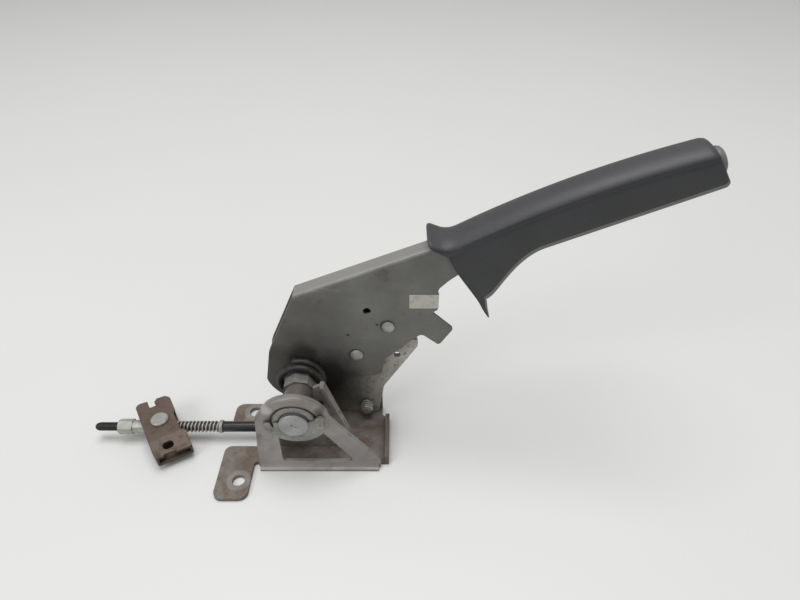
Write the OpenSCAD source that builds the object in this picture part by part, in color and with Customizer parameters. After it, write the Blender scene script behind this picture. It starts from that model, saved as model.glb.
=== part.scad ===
// Parking brake lever: a pressed channel lever on a pivot shaft, with a ratchet sector, a pawl
// worked by a push button in the grip, and a pull rod with adjuster nut and cable equalizer.
// Millimetres. X runs forward to the grip, Y across to the lever's side, Z up.
// The origin is midway between the two mounting holes, on the underside of the base.

/* [Base] */
// Distance between the two mounting holes
hole_spacing = 62; // [56:1:72]
// Diameter of the mounting holes
hole_d = 8.8; // [6.6:0.1:11]
// Thickness of the base sheet
base_t = 3; // [2:0.5:4]
// Length of each mounting ear along X
ear_l = 23.5; // [20:0.5:30]
// Reach of the base in front of the mounting holes
base_front = 104; // [100:0.5:112]
// Height of the turned-up front lip above the underside
lip_h = 9; // [6:0.5:12]
// Height of the side flange that carries the sector
flange_h = 22; // [20:0.5:24]

/* [Support bracket] */
// Distance of the bracket's outer face from the line of X through the origin
bracket_y = 18; // [16:0.5:22]
// Sheet thickness of both brackets
bracket_t = 2.5; // [2:0.25:3]
// Outer radius of the collar round the bush
collar_r = 23.4; // [22:0.2:25]
// Height of the collar's raised rim
rim_h = 2.5; // [2:0.25:3]
// Outer diameter of the pivot bush
bush_d = 29; // [26:0.5:31]

/* [Pivot] */
// Distance of the pivot axis in front of the mounting holes
pivot_x = 42; // [40:0.5:46]
// Height of the pivot axis
pivot_z = 50; // [49:0.5:56]
// Diameter of the pivot shaft
shaft_d = 20; // [18:0.5:21]

/* [Lever] */
// Distance of the lever's middle plane from the origin
lever_y = 33.5; // [33:0.5:38]
// Outer width of the lever channel
lever_w = 15; // [14:0.5:17]
// Sheet thickness of the lever channel
cheek_t = 2; // [1.5:0.25:2.25]
// Outer bend radius of the channel
bend_r = 3.5; // [2.5:0.25:4.5]
// Tilt of the lever's back above the horizontal at rest
lever_tilt = 22.1; // [20:0.1:24]
// Distance of the lever's back from the pivot axis
back_h = 64.6; // [63:0.2:67]
// Radius of the lever round the pivot
hub_r = 27; // [25:0.25:27.5]
// Depth of the lever's stem inside the grip
stem_h = 18; // [17:0.25:19]
// Upward travel of the lever, in degrees
lever_travel = 42; // [30:1:44]

/* [Grip] */
// Distance of the grip's front from the pivot, along the lever's back
grip_start = 125.4; // [122:0.2:130]
// Length of the grip along the top
grip_l = 159; // [150:1:170]
// Width of the grip
grip_w = 27; // [25:0.5:30]
// Depth of the grip behind its flared front
grip_h = 31.1; // [30:0.1:33]
// Rise of the grip's crown above the lever's back
grip_rise = 8.6; // [8:0.1:9.4]
// Depth of the flared front
flare_h = 73; // [68:0.2:77]
// Width of the hilt at the grip's front
hilt_w = 31; // [29:0.5:33]
// Thickness of the hilt
hilt_t = 2.4; // [1.8:0.1:2.6]
// Diameter of the push button
button_d = 17; // [15:0.5:18]
// Travel of the push button
button_travel = 7; // [5:0.5:7]

/* [Ratchet] */
// Thickness of the sector and of the pawl
sector_t = 4; // [3:0.25:4.5]
// Radius of the ratchet's tooth tips
tooth_r = 66; // [64.5:0.1:66.4]
// Depth of the ratchet teeth
tooth_h = 3.2; // [2:0.1:3.5]
// Angle from one tooth to the next
tooth_pitch = 2.6; // [2:0.1:3.6]
// Diameter of the stop pin
stop_pin_d = 8; // [7:0.25:8.5]
// Diameter of the pawl pin
pawl_pin_d = 6; // [5:0.25:7]

/* [Pull rod] */
// Distance of the rod from the line of X through the origin
rod_y = 9; // [8:0.25:9.5]
// Height of the rod's axis at rest
rod_z = 12; // [11:0.25:13]
// Diameter of the rod's thread
rod_d = 6; // [5:0.25:6.5]
// Length of the rod from the clevis pin to its tip
rod_l = 146; // [140:1:156]
// Thickness of the arm on the pivot shaft that pulls the rod
pull_arm_t = 5; // [4:0.25:5.5]
// Diameter of the clevis pin
clevis_pin_d = 6; // [5:0.25:6.5]
// Outer diameter of the sleeve on the rod
sleeve_d = 7.8; // [7.2:0.1:8.4]

/* [Equalizer] */
// Distance of the equalizer's pin behind the mounting holes
eq_x = 63.5; // [60:0.5:68]
// Length of the equalizer
eq_l = 53.5; // [51:0.5:58]
// Width of the equalizer
eq_w = 22.8; // [22:0.2:25]
// Outer height of the equalizer
eq_h = 14; // [13.6:0.1:15]
// Sheet thickness of the equalizer
eq_t = 1.8; // [1.5:0.05:1.9]
// Turn of the equalizer on its pin at rest, in degrees
eq_yaw = 32; // [20:1:34]
// Distance across the flats of the adjuster nut
nut_af = 10; // [9:0.1:10.4]

/* [Springs] */
// Wire diameter of the lever's torsion spring
torsion_wire = 5; // [4:0.1:5.2]
// Mean radius of the torsion spring
torsion_r = 15; // [14.8:0.1:15.6]
// Wire diameter of the rod's anti-rattle spring
rattle_wire = 1.1; // [0.8:0.05:1.2]
// Wire diameter of the button's return spring
button_wire = 1.2; // [0.9:0.05:1.3]

/* [Hidden] */

// Turned and round parts are drawn with this many segments
$fn = 64;
// Segments in each rounded corner of a sheet outline
corner_steps = 5;
// Points round a swept wire
wire_sides = 8;

// Running clearance of a shaft in its bore
fit = 0.06;
// Gap between pieces that move past each other
gap = 0.3;
// Gap between pieces that are pressed or pushed together
seat = 0.05;
// Overlap of a cut beyond the face that it opens
eps = 1;

// Planes across the part
near_face = -bracket_y;
bracket_back = near_face + bracket_t;
sector_near = lever_y - sector_t/2;
sector_far = lever_y + sector_t/2;
cheek_near = lever_y - lever_w/2;
cheek_far = lever_y + lever_w/2;
channel_w = lever_w - 2*cheek_t;
flange_near = sector_far;
flange_far = flange_near + base_t;

// Places in the frame of the lever's back, as distance along it and above the pivot
pawl_pos = [tooth_r + 8.1, 17.5];
stop_pos = [43.7, 1.9];
jig_pos = [66.3, 35.4];
jig_d = 5.2;
stem_bottom = back_h - stem_h;
stem_end = grip_start + grip_l - 26;
button_z = back_h - 8.8;

// Base
ear_back = -ear_l*0.655;
ear_front = ear_back + ear_l;
ear_edge = 14.5;
slot_front = 28;
slot_near = -1.8;
slot_far = 20;
far_ear_y = hole_spacing/2 + 8;
flange_x = 50;
flange_front = base_front - 5.5;
lip_far = sector_near - 7.5;
screw_at = [[pivot_x + 44.8, 13.5], [pivot_x + 14, 13.5]];
screw_d = 8;
screw_head_d = 13;
screw_head_h = 4;
screw_tip = 9.5;

// Support bracket
bracket_front = base_front - 5.5;
window_left = 29.5;
window_low = base_t + 4;
rim_inner_r = bush_d/2 + 1;
rim_lean = 4;
foot_h = 6.5;
foot_reach = 3.4;
bush_flange = 2;
bush_back = bracket_back + 3;

// Pivot shaft
clip_t = 1.2;
clip_gap = 0.2;
clip_w = 10.8;
clip_band = 3.3;
clip_front = near_face - rim_h - clip_gap - clip_t;
shaft_near = clip_front - 1.1;
ring_t = 1.5;
shaft_far = cheek_far + 3;
groove_d = shaft_d - 3;

// Pull arm
pull_arm_near = rod_y - pull_arm_t/2;
pull_hub_d = shaft_d + 4;
pull_hub_far = pull_arm_near + 9.5;
clevis_x = pivot_x - 8;
eye_r = 6;
fork_t = 2.45;
fork_gap = pull_arm_t/2 + gap;
neck_back = clevis_x - 16;
neck_front = clevis_x - 12;

// Pull rod
rod_tip = clevis_x - rod_l;
sleeve_front = neck_back - 1;
collar_front = -18;
collar_t = 2.8;
collar_d = sleeve_d + 1.6;
trunnion_flat = 5;
trunnion_d = 11;
journal_d = 8;
pin_head_d = 12.4;
pin_head_t = 2;
foot_t = 1.2;
nut_nose_d = 9.4;
nut_back = 31;
nut_hex_front = 20.5;
eq_near = 0.552*eq_l;
eq_far = eq_l - eq_near;
eq_left = -0.54*eq_w;
eq_right = eq_left + eq_w;
eq_step = 3.3;
eq_fold = 17;
eq_drop = 6;

// Inner bracket
inner_near = -1.5;
inner_far = inner_near + bracket_t;
inner_flange = 4;
inner_reach = 40;
inner_top = 19.4;
spring_leg_near = inner_near - 1.5;

// Torsion spring
torsion_start = -5;
torsion_turn = 473;
torsion_near = pull_arm_near + pull_arm_t + gap + torsion_wire/2 + 0.5;
torsion_far = cheek_near - gap - torsion_wire/2;
hook_at = torsion_start + torsion_turn;

// Ratchet
stop_r = norm(stop_pos);
stop_angle = atan2(stop_pos[1], stop_pos[0]) + lever_tilt;
teeth_from = stop_angle + 3;
teeth_to = teeth_from + lever_travel - 5;
teeth_n = floor((teeth_to - teeth_from)/tooth_pitch);
sector_end = stop_angle + lever_travel + 6;
land_from = 16.5;
toe_angle = -2;
toe_r = tooth_r + 0.4;
toe_half = 1.3;
nose_hole = [tooth_r + 1.9, 13.5];
nose_hole_d = 5;
sector_foot = base_t + seat - pivot_z;

// Grip
grip_end = grip_start + grip_l;
crown_x = grip_start + 0.61*grip_l;
crown_z = back_h + grip_rise;
crown_drop = 0.0008;
belly_z = crown_z - grip_h;
flare_end = grip_start + 62.6;
flare_low = [grip_start + 14, crown_z - flare_h];
tab_top = flare_low + [3.3, 16];
tab_share = 0.03;
flare_share = 0.368;
grip_stations = 26;
end_round = [[0.8, 0.985], [2.2, 0.94], [3.2, 0.86]];
dome_h = 7;
foot_r = 2.6;
hilt_rise = 0.2;
hilt_lift = 2.2;

// Plane outlines with rounded corners
function unit(v) = v/norm(v);
function xy(p) = [p[0], p[1]];

// Arc that rounds corner c between its neighbours p and n, no larger than the edges allow
function corner(p, c, n, r) =
    let (u = unit(p - c), w = unit(n - c), half = acos(max(-1, min(1, u*w)))/2)
    let (room = 0.48*min(norm(p - c), norm(n - c))*tan(half), s = min(r, room))
    s <= 0.01 || half > 89 ? [c] :
    let (m = c + unit(u + w)*s/sin(half), from = c + u*s/tan(half) - m)
    let (side = cross(c - p, n - c) > 0 ? 1 : -1, a0 = atan2(from[1], from[0]))
    [for (i = [0:corner_steps])
        let (a = a0 + side*(180 - 2*half)*i/corner_steps) m + s*[cos(a), sin(a)]];

// Outline through points given as [x, y, corner radius]
function outline(pts) =
    let (n = len(pts))
    [for (i = [0:n - 1])
        each corner(xy(pts[(i + n - 1)%n]), xy(pts[i]), xy(pts[(i + 1)%n]), pts[i][2])];

function arc(r, from, to, steps) =
    [for (i = [0:steps]) let (a = from + (to - from)*i/steps) r*[cos(a), sin(a)]];

// Cubic curve between two points
function bezier(a, b, c, d, t) =
    a*pow(1 - t, 3) + b*3*t*pow(1 - t, 2) + c*3*t*t*(1 - t) + d*pow(t, 3);

// Skin over n rings of m points each, closed at both ends
function skin_faces(n, m) = concat(
    [[for (j = [0:m - 1]) j]],
    [for (i = [0:n - 2], j = [0:m - 1])
        let (a = i*m + j, b = i*m + (j + 1)%m) each [[a, b + m, b], [a, a + m, b + m]]],
    [[for (j = [m - 1:-1:0]) (n - 1)*m + j]]);

// The same over rings that are mirrored about their middle point, with ends that need not be flat
function mirrored_cap(from, m) =
    let (top = (m - 1)/2)
    concat([for (j = [0:top - 2]) [from + j, from + j + 1, from + m - 2 - j, from + m - 1 - j]],
        [[from + top - 1, from + top, from + top + 1]]);
function turned_over(faces) = [for (f = faces) [for (i = [len(f) - 1:-1:0]) f[i]]];

module mirrored_skin(rings) {
    n = len(rings);
    m = len(rings[0]);
    sides = [for (i = [0:n - 2], j = [0:m - 1])
        let (a = i*m + j, b = i*m + (j + 1)%m) each [[a, b + m, b], [a, a + m, b + m]]];
    polyhedron(points = [for (ring = rings) each ring],
        faces = concat(mirrored_cap(0, m), sides, turned_over(mirrored_cap((n - 1)*m, m))));
}

module skin(rings) {
    polyhedron(points = [for (ring = rings) each ring],
        faces = skin_faces(len(rings), len(rings[0])));
}

// Round wire of radius r along a path, carried without twist from the normal start
function tangent(path, i) =
    unit(path[min(i + 1, len(path) - 1)] - path[max(i - 1, 0)]);
function square_to(n, t) = unit(n - t*(n*t));

module wire(path, r, start) {
    rings = [for (i = 0, n = square_to(start, tangent(path, 0)); i < len(path);
        i = i + 1, n = i < len(path) ? square_to(n, tangent(path, i)) : n)
        let (t = tangent(path, i), b = cross(t, n))
        [for (j = [0:wire_sides - 1]) let (a = 360*j/wire_sides) path[i] + r*(cos(a)*n + sin(a)*b)]];
    skin(rings);
}

// Coil along X with the given ends, mean radius and number of turns
function coil_x(x0, x1, r, turns, steps) =
    [for (i = [0:turns*steps])
        let (a = 360*i/steps) [x0 + (x1 - x0)*i/(turns*steps), r*cos(a), r*sin(a)]];

// Sheet or disc drawn in X and Z, and set between two planes of Y
module across(y0, y1) {
    translate([0, y1, 0])
        rotate([90, 0, 0])
            linear_extrude(y1 - y0)
                children();
}

// Turned shape about X, from a profile of [distance along X, radius]
module turned_x(profile) {
    rotate([0, 90, 0])
        rotate_extrude()
            polygon([for (p = profile) [p[1], p[0]]]);
}

// Turned shape about Y, from a profile of [distance along Y, radius]
module turned_y(profile) {
    rotate([-90, 0, 0])
        rotate_extrude()
            polygon([for (p = profile) [p[1], p[0]]]);
}

module at_pivot() {
    translate([pivot_x, 0, pivot_z])
        children();
}

// Frame of the lever's back: X along it, Y from the lever's middle plane
module in_lever() {
    translate([pivot_x, lever_y, pivot_z])
        rotate([0, -lever_tilt, 0])
            children();
}

module at_rod() {
    translate([0, rod_y, rod_z])
        children();
}

// Base: ears, plate, front lip and side flange, pressed from one sheet
module base_outline() {
    near_ear_y = -hole_spacing/2 - ear_edge;
    polygon(outline([
        [ear_back, near_ear_y, 6], [ear_front, near_ear_y, 6], [ear_front, bracket_back, 2],
        [base_front, bracket_back, 0], [base_front, lip_far, 0], [flange_front, lip_far + 4, 2],
        [flange_front, flange_far, 0], [flange_x, flange_far, 0], [flange_x - 5, sector_near, 3],
        [flange_x - 26, sector_near, 4],
        [flange_x - 33, far_ear_y, 6], [ear_back, far_ear_y, 6], [ear_back, slot_far, 3],
        [slot_front - 4, slot_far, 3], [slot_front, slot_far - 4, 3], [slot_front, slot_near + 4, 3],
        [slot_front - 4, slot_near, 3], [ear_back, slot_near, 5]]));
}

module base_plate() {
    color([0.40, 0.33, 0.29])
        difference() {
            union() {
                linear_extrude(base_t)
                    base_outline();
                translate([base_front - base_t, bracket_back, 0])
                    cube([base_t, lip_far - bracket_back, lip_h]);
                across(flange_near, flange_far)
                    polygon(outline([[flange_x, 0, 0], [flange_front, 0, 0], [flange_front, flange_h, 4],
                        [flange_x + 4, flange_h, 4]]));
            }
            for (side = [-1, 1])
                translate([0, side*hole_spacing/2, -eps])
                    cylinder(d = hole_d, h = base_t + 2*eps);
            for (p = screw_at)
                translate([p[0], 0, p[1]])
                    across(flange_near - eps, flange_far + eps)
                        circle(d = screw_d + 2*fit);
        }
}

// Support bracket: near wall with a window and a rimmed collar
module support_outline() {
    side = pivot_x - collar_r;
    polygon(outline([
        [side - 6.9, 0, 2], [bracket_front, 0, 3], [bracket_front, 8, 3],
        [pivot_x + collar_r + 1, pivot_z + 1, 6], [pivot_x + 15, pivot_z + 15, 4],
        [pivot_x - 15, pivot_z + 16, 4], [side - 2.6, pivot_z + 4, 9]]));
    translate([pivot_x, pivot_z])
        circle(r = collar_r);
}

module support_window() {
    difference() {
        polygon(outline([[window_left, window_low, 3], [pivot_x + 36.5, window_low, 3],
            [pivot_x + 36.5, window_low + 3.5, 3], [pivot_x + 18, pivot_z - 12, 3],
            [window_left, pivot_z - 12, 3]]));
        translate([pivot_x, pivot_z])
            circle(r = bush_d/2 + 2.7);
    }
}

// Rolled rim of the collar, leaning so that it dies out below the pivot
module collar_rim() {
    half = rim_h/2;
    at_pivot()
        intersection() {
            translate([0, near_face, 0])
                rotate([rim_lean, 0, 0])
                    turned_y([[0.2*half, rim_inner_r], [-0.5*half, rim_inner_r + 0.5],
                        [-0.9*half, rim_inner_r + 1.8], [-0.9*half, collar_r - 3],
                        [-0.5*half, collar_r - 1.1], [0.4*half, collar_r - 0.2], [2.4, collar_r - 0.2],
                        [2.4, rim_inner_r]]);
            translate([-2*collar_r, near_face - 2*rim_h, -2*collar_r])
                cube([4*collar_r, bracket_t + 2*rim_h, 4*collar_r]);
        }
}

// Foot of the wall, swept out over the floor
module bracket_foot() {
    left = pivot_x - collar_r - 5.4;
    translate([left, 0, 0])
        rotate([90, 0, 90])
            linear_extrude(bracket_front - 1.5 - left)
                polygon([[bracket_back, 0], [bracket_back, foot_h], [near_face, foot_h],
                    [near_face - 0.15*foot_reach, 0.62*foot_h], [near_face - 0.45*foot_reach, 0.38*foot_h],
                    [near_face - foot_reach, 0.26*foot_h], [near_face - foot_reach, 0]]);
}

module support_bracket() {
    color([0.60, 0.58, 0.56])
        difference() {
            union() {
                across(near_face, bracket_back)
                    difference() {
                        support_outline();
                        support_window();
                    }
                collar_rim();
                bracket_foot();
            }
            at_pivot()
                across(near_face - eps, bracket_back + eps)
                    circle(d = bush_d + 2*seat);
        }
}

// Inner bracket: wall with an open cradle under the shaft, a stiffening flange and a hole for the spring
module inner_bracket() {
    cradle_r = shaft_d/2 + 0.4;
    floor = base_t - pivot_z;
    leg = torsion_r*[cos(torsion_start), sin(torsion_start)];
    saddle = torsion_wire/2 + seat;
    front_top = [inner_top, 0.91*inner_top];
    front_foot = [inner_reach, floor];
    edge = [bracket_t + 0.2, 0];
    color([0.50, 0.48, 0.46])
        at_pivot() {
            across(inner_near, inner_far)
                difference() {
                    polygon([[-24, floor], [-24, -5.6], [-21, -2.6], [0, -2.6], [cradle_r, 0],
                        front_top - [8, 4.4], front_top, front_foot]);
                    circle(r = cradle_r);
                    translate(leg)
                        circle(r = saddle);
                }
            across(inner_near - inner_flange, inner_far)
                polygon([front_top, front_foot, front_foot - edge, front_top - edge]);
        }
}

module pivot_bush() {
    color([0.70, 0.66, 0.60])
        at_pivot()
            turned_y([[near_face - rim_h + 0.1, shaft_d/2 + fit + 0.8],
                [near_face - rim_h + 0.1, bush_d/2 - 0.8], [near_face - rim_h + 0.9, bush_d/2],
                [bracket_back + seat, bush_d/2], [bracket_back + seat, bush_d/2 + 2.5],
                [bracket_back + bush_flange, bush_d/2 + 2.5], [bush_back, bush_d/2],
                [bush_back, shaft_d/2 + fit], [near_face - rim_h + 0.9, shaft_d/2 + fit]]);
}

// Ratchet sector: toothed arc, travel slot and nose on a leg that is bolted to the base flange
function tooth_points() =
    [for (k = [0:teeth_n - 1])
        let (a = teeth_from + k*tooth_pitch, low = tooth_r - tooth_h)
        each [low*[cos(a), sin(a)],
            tooth_r*[cos(a + 0.75*tooth_pitch), sin(a + 0.75*tooth_pitch)],
            tooth_r*[cos(a + 0.9*tooth_pitch), sin(a + 0.9*tooth_pitch)]]];

module sector_outline() {
    polygon(concat([[0, 0]], arc(tooth_r, land_from, teeth_from, 6), tooth_points(),
        arc(tooth_r, teeth_from + teeth_n*tooth_pitch, sector_end, 4)));
    circle(d = shaft_d + 14);
    polygon(outline([
        [8, sector_foot, 4], [53.6, sector_foot, 3], [55.8, -34, 20], [58, -18.4, 12],
        [tooth_r + 16.4, 21.5, 2.5], [tooth_r + 16.6, 27.8, 3], [tooth_r + 11.5, 28, 3],
        [tooth_r + 4, 18.6, 4], [tooth_r - 4, 18.2, 0],
        [30, 8, 0], [0, 0, 0], [-12, -6, 6]]));
}

module stop_slot() {
    half = stop_pin_d/2 + gap;
    from = stop_angle - 0.4;
    to = stop_angle + lever_travel + 0.4;
    polygon(concat(arc(stop_r + half, from, to, 24), arc(stop_r - half, to, from, 24)));
    for (a = [from, to])
        translate(stop_r*[cos(a), sin(a)])
            circle(r = half);
}

module ratchet_sector() {
    color([0.55, 0.53, 0.49])
        difference() {
            at_pivot()
                across(sector_near, sector_far)
                    difference() {
                        sector_outline();
                        circle(d = shaft_d + 2*fit);
                        stop_slot();
                        translate(nose_hole)
                            circle(d = nose_hole_d);
                    }
            for (p = screw_at)
                translate([p[0], 0, p[1]])
                    across(sector_near - eps, sector_far + eps)
                        circle(d = screw_d + 2*fit);
        }
}

// Flanged screws that hold the sector, put in from the far side
module sector_screws() {
    color([0.72, 0.72, 0.70])
        for (p = screw_at)
            translate([p[0], 0, p[1]]) {
                turned_y([[sector_near - screw_tip, 0], [sector_near - screw_tip, screw_d/2 - 1.3],
                    [sector_near - screw_tip + 1.3, screw_d/2], [flange_far, screw_d/2],
                    [flange_far, screw_head_d/2], [flange_far + 1.2, screw_head_d/2],
                    [flange_far + 1.2, 0]]);
                across(flange_far, flange_far + screw_head_h)
                    circle(d = screw_head_d - 1.5, $fn = 6);
            }
}

// Lever channel: U section along the lever's back, cut to the side outline
module channel_section() {
    half = lever_w/2;
    low = -hub_r - eps;
    difference() {
        polygon(outline([[-half, low, 0], [half, low, 0], [half, back_h, bend_r], [-half, back_h, bend_r]]));
        polygon(outline([[cheek_t - half, low - eps, 0], [half - cheek_t, low - eps, 0],
            [half - cheek_t, back_h - cheek_t, bend_r - cheek_t],
            [cheek_t - half, back_h - cheek_t, bend_r - cheek_t]]));
    }
}

module lever_outline() {
    polygon(outline([
        [26.5, back_h, 4], [stem_end, back_h, 0], [stem_end, stem_bottom, 5], [150, stem_bottom, 20],
        [125, 38.6, 10], [116, 34.5, 5], [114.8, 30.3, 1.5], [110.1, 18.7, 2], [105.8, 18.2, 1.5],
        [114.2, -0.6, 2], [100.2, -10.8, 2], [92.5, 3.4, 3.5], [84, 0.2, 6], [60, -9.4, 8],
        [52.5, -21.7, 5], [28, -16.8, 20],
        each [for (p = arc(hub_r, -72, -191, 24)) [p[0], p[1], 0]], [-11.5, 28.5, 20]]));
}

module lever_arm() {
    color([0.40, 0.40, 0.38])
        difference() {
            in_lever()
                difference() {
                    intersection() {
                        translate([-hub_r - eps, 0, 0])
                            rotate([90, 0, 90])
                                linear_extrude(stem_end + hub_r + 2*eps)
                                    channel_section();
                        across(-lever_w/2 - eps, lever_w/2 + eps)
                            lever_outline();
                    }
                    across(-lever_w/2 - eps, lever_w/2 + eps) {
                        circle(d = shaft_d + 2*seat);
                        translate(pawl_pos)
                            circle(d = pawl_pin_d + 2*seat);
                        translate(stop_pos)
                            circle(d = stop_pin_d + 2*seat);
                        translate(jig_pos)
                            circle(d = jig_d);
                    }
                    across(0, lever_w)
                        polygon([[88, 2.2], [106.5, 17.5], [130, 17.5], [130, -20], [96, -20]]);
                }
            at_pivot()
                across(cheek_near - eps, cheek_near + cheek_t + eps)
                    translate(torsion_r*[cos(hook_at), sin(hook_at)])
                        circle(d = torsion_wire + 2*gap);
        }
}

// Pivot shaft with a clip groove at each end and a centre mark on the near face
module pivot_shaft() {
    color([0.66, 0.66, 0.65])
        at_pivot()
            turned_y([[shaft_near + 0.5, 0], [shaft_near, 1.2], [shaft_near, shaft_d/2 - 0.8],
                [shaft_near + 0.8, shaft_d/2], [clip_front, shaft_d/2], [clip_front, groove_d/2],
                [clip_front + clip_t, groove_d/2], [clip_front + clip_t, shaft_d/2],
                [cheek_far + seat, shaft_d/2], [cheek_far + seat, groove_d/2],
                [cheek_far + seat + ring_t, groove_d/2], [cheek_far + seat + ring_t, shaft_d/2],
                [shaft_far - 0.8, shaft_d/2], [shaft_far, shaft_d/2 - 0.8], [shaft_far, 0]]);
}

// Horseshoe clip in the near groove, open upwards, with a lug at each end
module retaining_clip() {
    inner = groove_d/2 + seat;
    band = shaft_d/2 + clip_band;
    reach = shaft_d/2 + clip_w;
    color([0.60, 0.64, 0.58])
        at_pivot()
            across(clip_front + seat, clip_front + clip_t - seat)
                difference() {
                    union() {
                        difference() {
                            circle(r = band);
                            translate([-band - eps, 2])
                                square([2*(band + eps), band]);
                        }
                        polygon(outline([[-inner - 0.6, -4, 0], [-band - 0.9, -2.4, 2], [5.4 - reach, 1.9, 1],
                            [1.8 - reach, 2, 1.5], [-reach, -0.8, 2], [2.2 - reach, -4.6, 3],
                            [-band + 1.6, -10.3, 3], [1.6 - inner, -10.6, 0]]));
                        polygon(outline([[inner - 1.6, -10.6, 0], [band - 0.2, -9, 3], [reach - 1.5, -3.6, 4],
                            [reach + 0.1, 5.8, 1.5], [reach - 3, 9.2, 2], [band - 0.2, 3.6, 1.5],
                            [inner + 0.5, 2, 0]]));
                    }
                    circle(r = inner);
                    translate([0.6 - inner, 0])
                        square([2*inner - 1.2, reach]);
                }
}

// Split ring in the far groove
module shaft_ring() {
    color([0.35, 0.35, 0.36])
        at_pivot()
            across(cheek_far + 2*seat, cheek_far + ring_t)
                difference() {
                    circle(r = shaft_d/2 + 3);
                    circle(r = groove_d/2 + seat);
                    translate([-1.5, 0])
                        square([3, shaft_d]);
                }
}

// Pull arm: eight-sided hub welded on the shaft, with an arm down to the clevis pin
module pull_arm() {
    eye = [clevis_x - pivot_x, rod_z - pivot_z];
    along = unit(eye);
    side = [-along[1], along[0]];
    color([0.62, 0.63, 0.58])
        at_pivot()
            difference() {
                union() {
                    across(pull_arm_near, pull_hub_far)
                        rotate(12)
                            circle(d = pull_hub_d, $fn = 8);
                    across(pull_arm_near, pull_arm_near + pull_arm_t) {
                        polygon([8.5*side, eye + eye_r*side, eye - eye_r*side, -8.5*side]);
                        translate(eye)
                            circle(r = eye_r);
                    }
                }
                across(pull_arm_near - eps, pull_hub_far + eps)
                    circle(d = shaft_d + 2*seat);
                across(pull_arm_near - eps, pull_arm_near + pull_arm_t + eps)
                    translate(eye)
                        circle(d = clevis_pin_d + 2*fit);
            }
}

// Torsion spring: near leg in the inner bracket's hole, far end hooked into the lever's near cheek
function torsion_path() =
    let (steps = 46, leg = torsion_r*[cos(torsion_start), sin(torsion_start)])
    let (hook = torsion_r*[cos(hook_at), sin(hook_at)])
    concat(
        [for (y = [spring_leg_near, torsion_near - 2]) [leg[0], y, leg[1]]],
        [for (i = [0:steps])
            let (a = torsion_start + torsion_turn*i/steps)
            [torsion_r*cos(a), torsion_near + (torsion_far - torsion_near)*i/steps, torsion_r*sin(a)]],
        [for (y = [torsion_far + 1.6, cheek_near + cheek_t + 0.4]) [hook[0], y, hook[1]]]);

module torsion_spring() {
    color([0.13, 0.13, 0.14])
        at_pivot()
            wire(torsion_path(), torsion_wire/2, [1, 0, 0]);
}

// Riveted pins through both cheeks, with a low dome on each head
module riveted_pin(d, head_d) {
    half = lever_w/2;
    turned_y([[-half - 1.9, 0], [-half - 1.8, head_d/4], [-half - 1, head_d/2 - 0.4],
        [-half - seat, head_d/2],
        [-half - seat, d/2], [half + seat, d/2], [half + seat, head_d/2], [half + 1, head_d/2 - 0.4],
        [half + 1.8, head_d/4], [half + 1.9, 0]]);
}

module pawl_pin() {
    color([0.66, 0.66, 0.64])
        in_lever()
            translate([pawl_pos[0], 0, pawl_pos[1]])
                riveted_pin(pawl_pin_d, pawl_pin_d + 3);
}

module stop_pin() {
    color([0.66, 0.66, 0.64])
        in_lever()
            translate([stop_pos[0], 0, stop_pos[1]])
                riveted_pin(stop_pin_d, stop_pin_d + 1.4);
}

// Strip of tape folded over the edge of the near cheek
module edge_tape() {
    tape_t = 0.25;
    edge = [rotated(110.1, 18.7)[0], rotated(114.8, 30.3)[0]];
    front = max(edge) + seat;
    low = rotated(110.1, 18.7)[1] + 1.6;
    color([0.66, 0.64, 0.59])
        at_pivot()
            translate([0, 0, low])
                linear_extrude(11.2)
                    difference() {
                        translate([front - 19, cheek_near - seat - tape_t])
                            square([19 + tape_t, cheek_t + 2*seat + 2*tape_t]);
                        translate([front - 20, cheek_near - seat])
                            square([20, cheek_t + 2*seat]);
                        translate([front - 20, cheek_near + cheek_t + seat - eps])
                            square([13, 3*eps]);
                    }
}

// Point of the lever's own frame as seen from the pivot without the tilt
function rotated(x, z) =
    [x*cos(lever_tilt) - z*sin(lever_tilt), x*sin(lever_tilt) + z*cos(lever_tilt)];

// Grip: sections from a top point to a bottom point, flared down at the front
function grip_top(u) =
    let (x = grip_start + grip_l*u) [x, crown_z - crown_drop*pow(x - crown_x, 2)];
function grip_low(u) =
    let (t = (u - tab_share)/(flare_share - tab_share), v = (u - flare_share)/(1 - flare_share))
    u < tab_share ? flare_low + (tab_top - flare_low)*u/tab_share :
    u < flare_share ?
        bezier(tab_top, tab_top + [7.3, 0.8], [flare_end - 21, belly_z], [flare_end, belly_z], t) :
        [flare_end + (grip_end + 6 - flare_end)*v, belly_z + 1.6*v];
function grip_narrow(u) = 0.06 + (u < flare_share ? 0.24*pow(1 - u/flare_share, 2) : 0);
function ease(t) = let (v = max(0, min(1, t))) v*v*(3 - 2*v);

// Half of a section of height h as [half width, height]: rounded foot, flat side and domed crown
function half_section(h, low, side, crown, dome, square) = concat(
    [[low - foot_r, 0], [low - 0.3*foot_r, 0.3*foot_r], [low, foot_r]],
    [for (t = [0.33, 0.67, 1]) [low + (side - low)*t, foot_r + (h - dome - foot_r)*t]],
    [for (a = [18:18:72]) [crown*pow(cos(a), square), h - dome + dome*pow(sin(a), square)]]);
function both_halves(half, h) = concat(half, [[0, h]],
    [for (i = [len(half) - 1:-1:0]) [-half[i][0], half[i][1]]]);

// Distance of the hilt's front from the line between its ends, at height s from -1 to 1
function hilt_shift(s) = -3 + 5.9*ease((0.95 - s)/0.35) - 1.5*ease((0.6 - s)/0.4) - 1.4*ease((-0.45 - s)/0.4);

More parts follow.
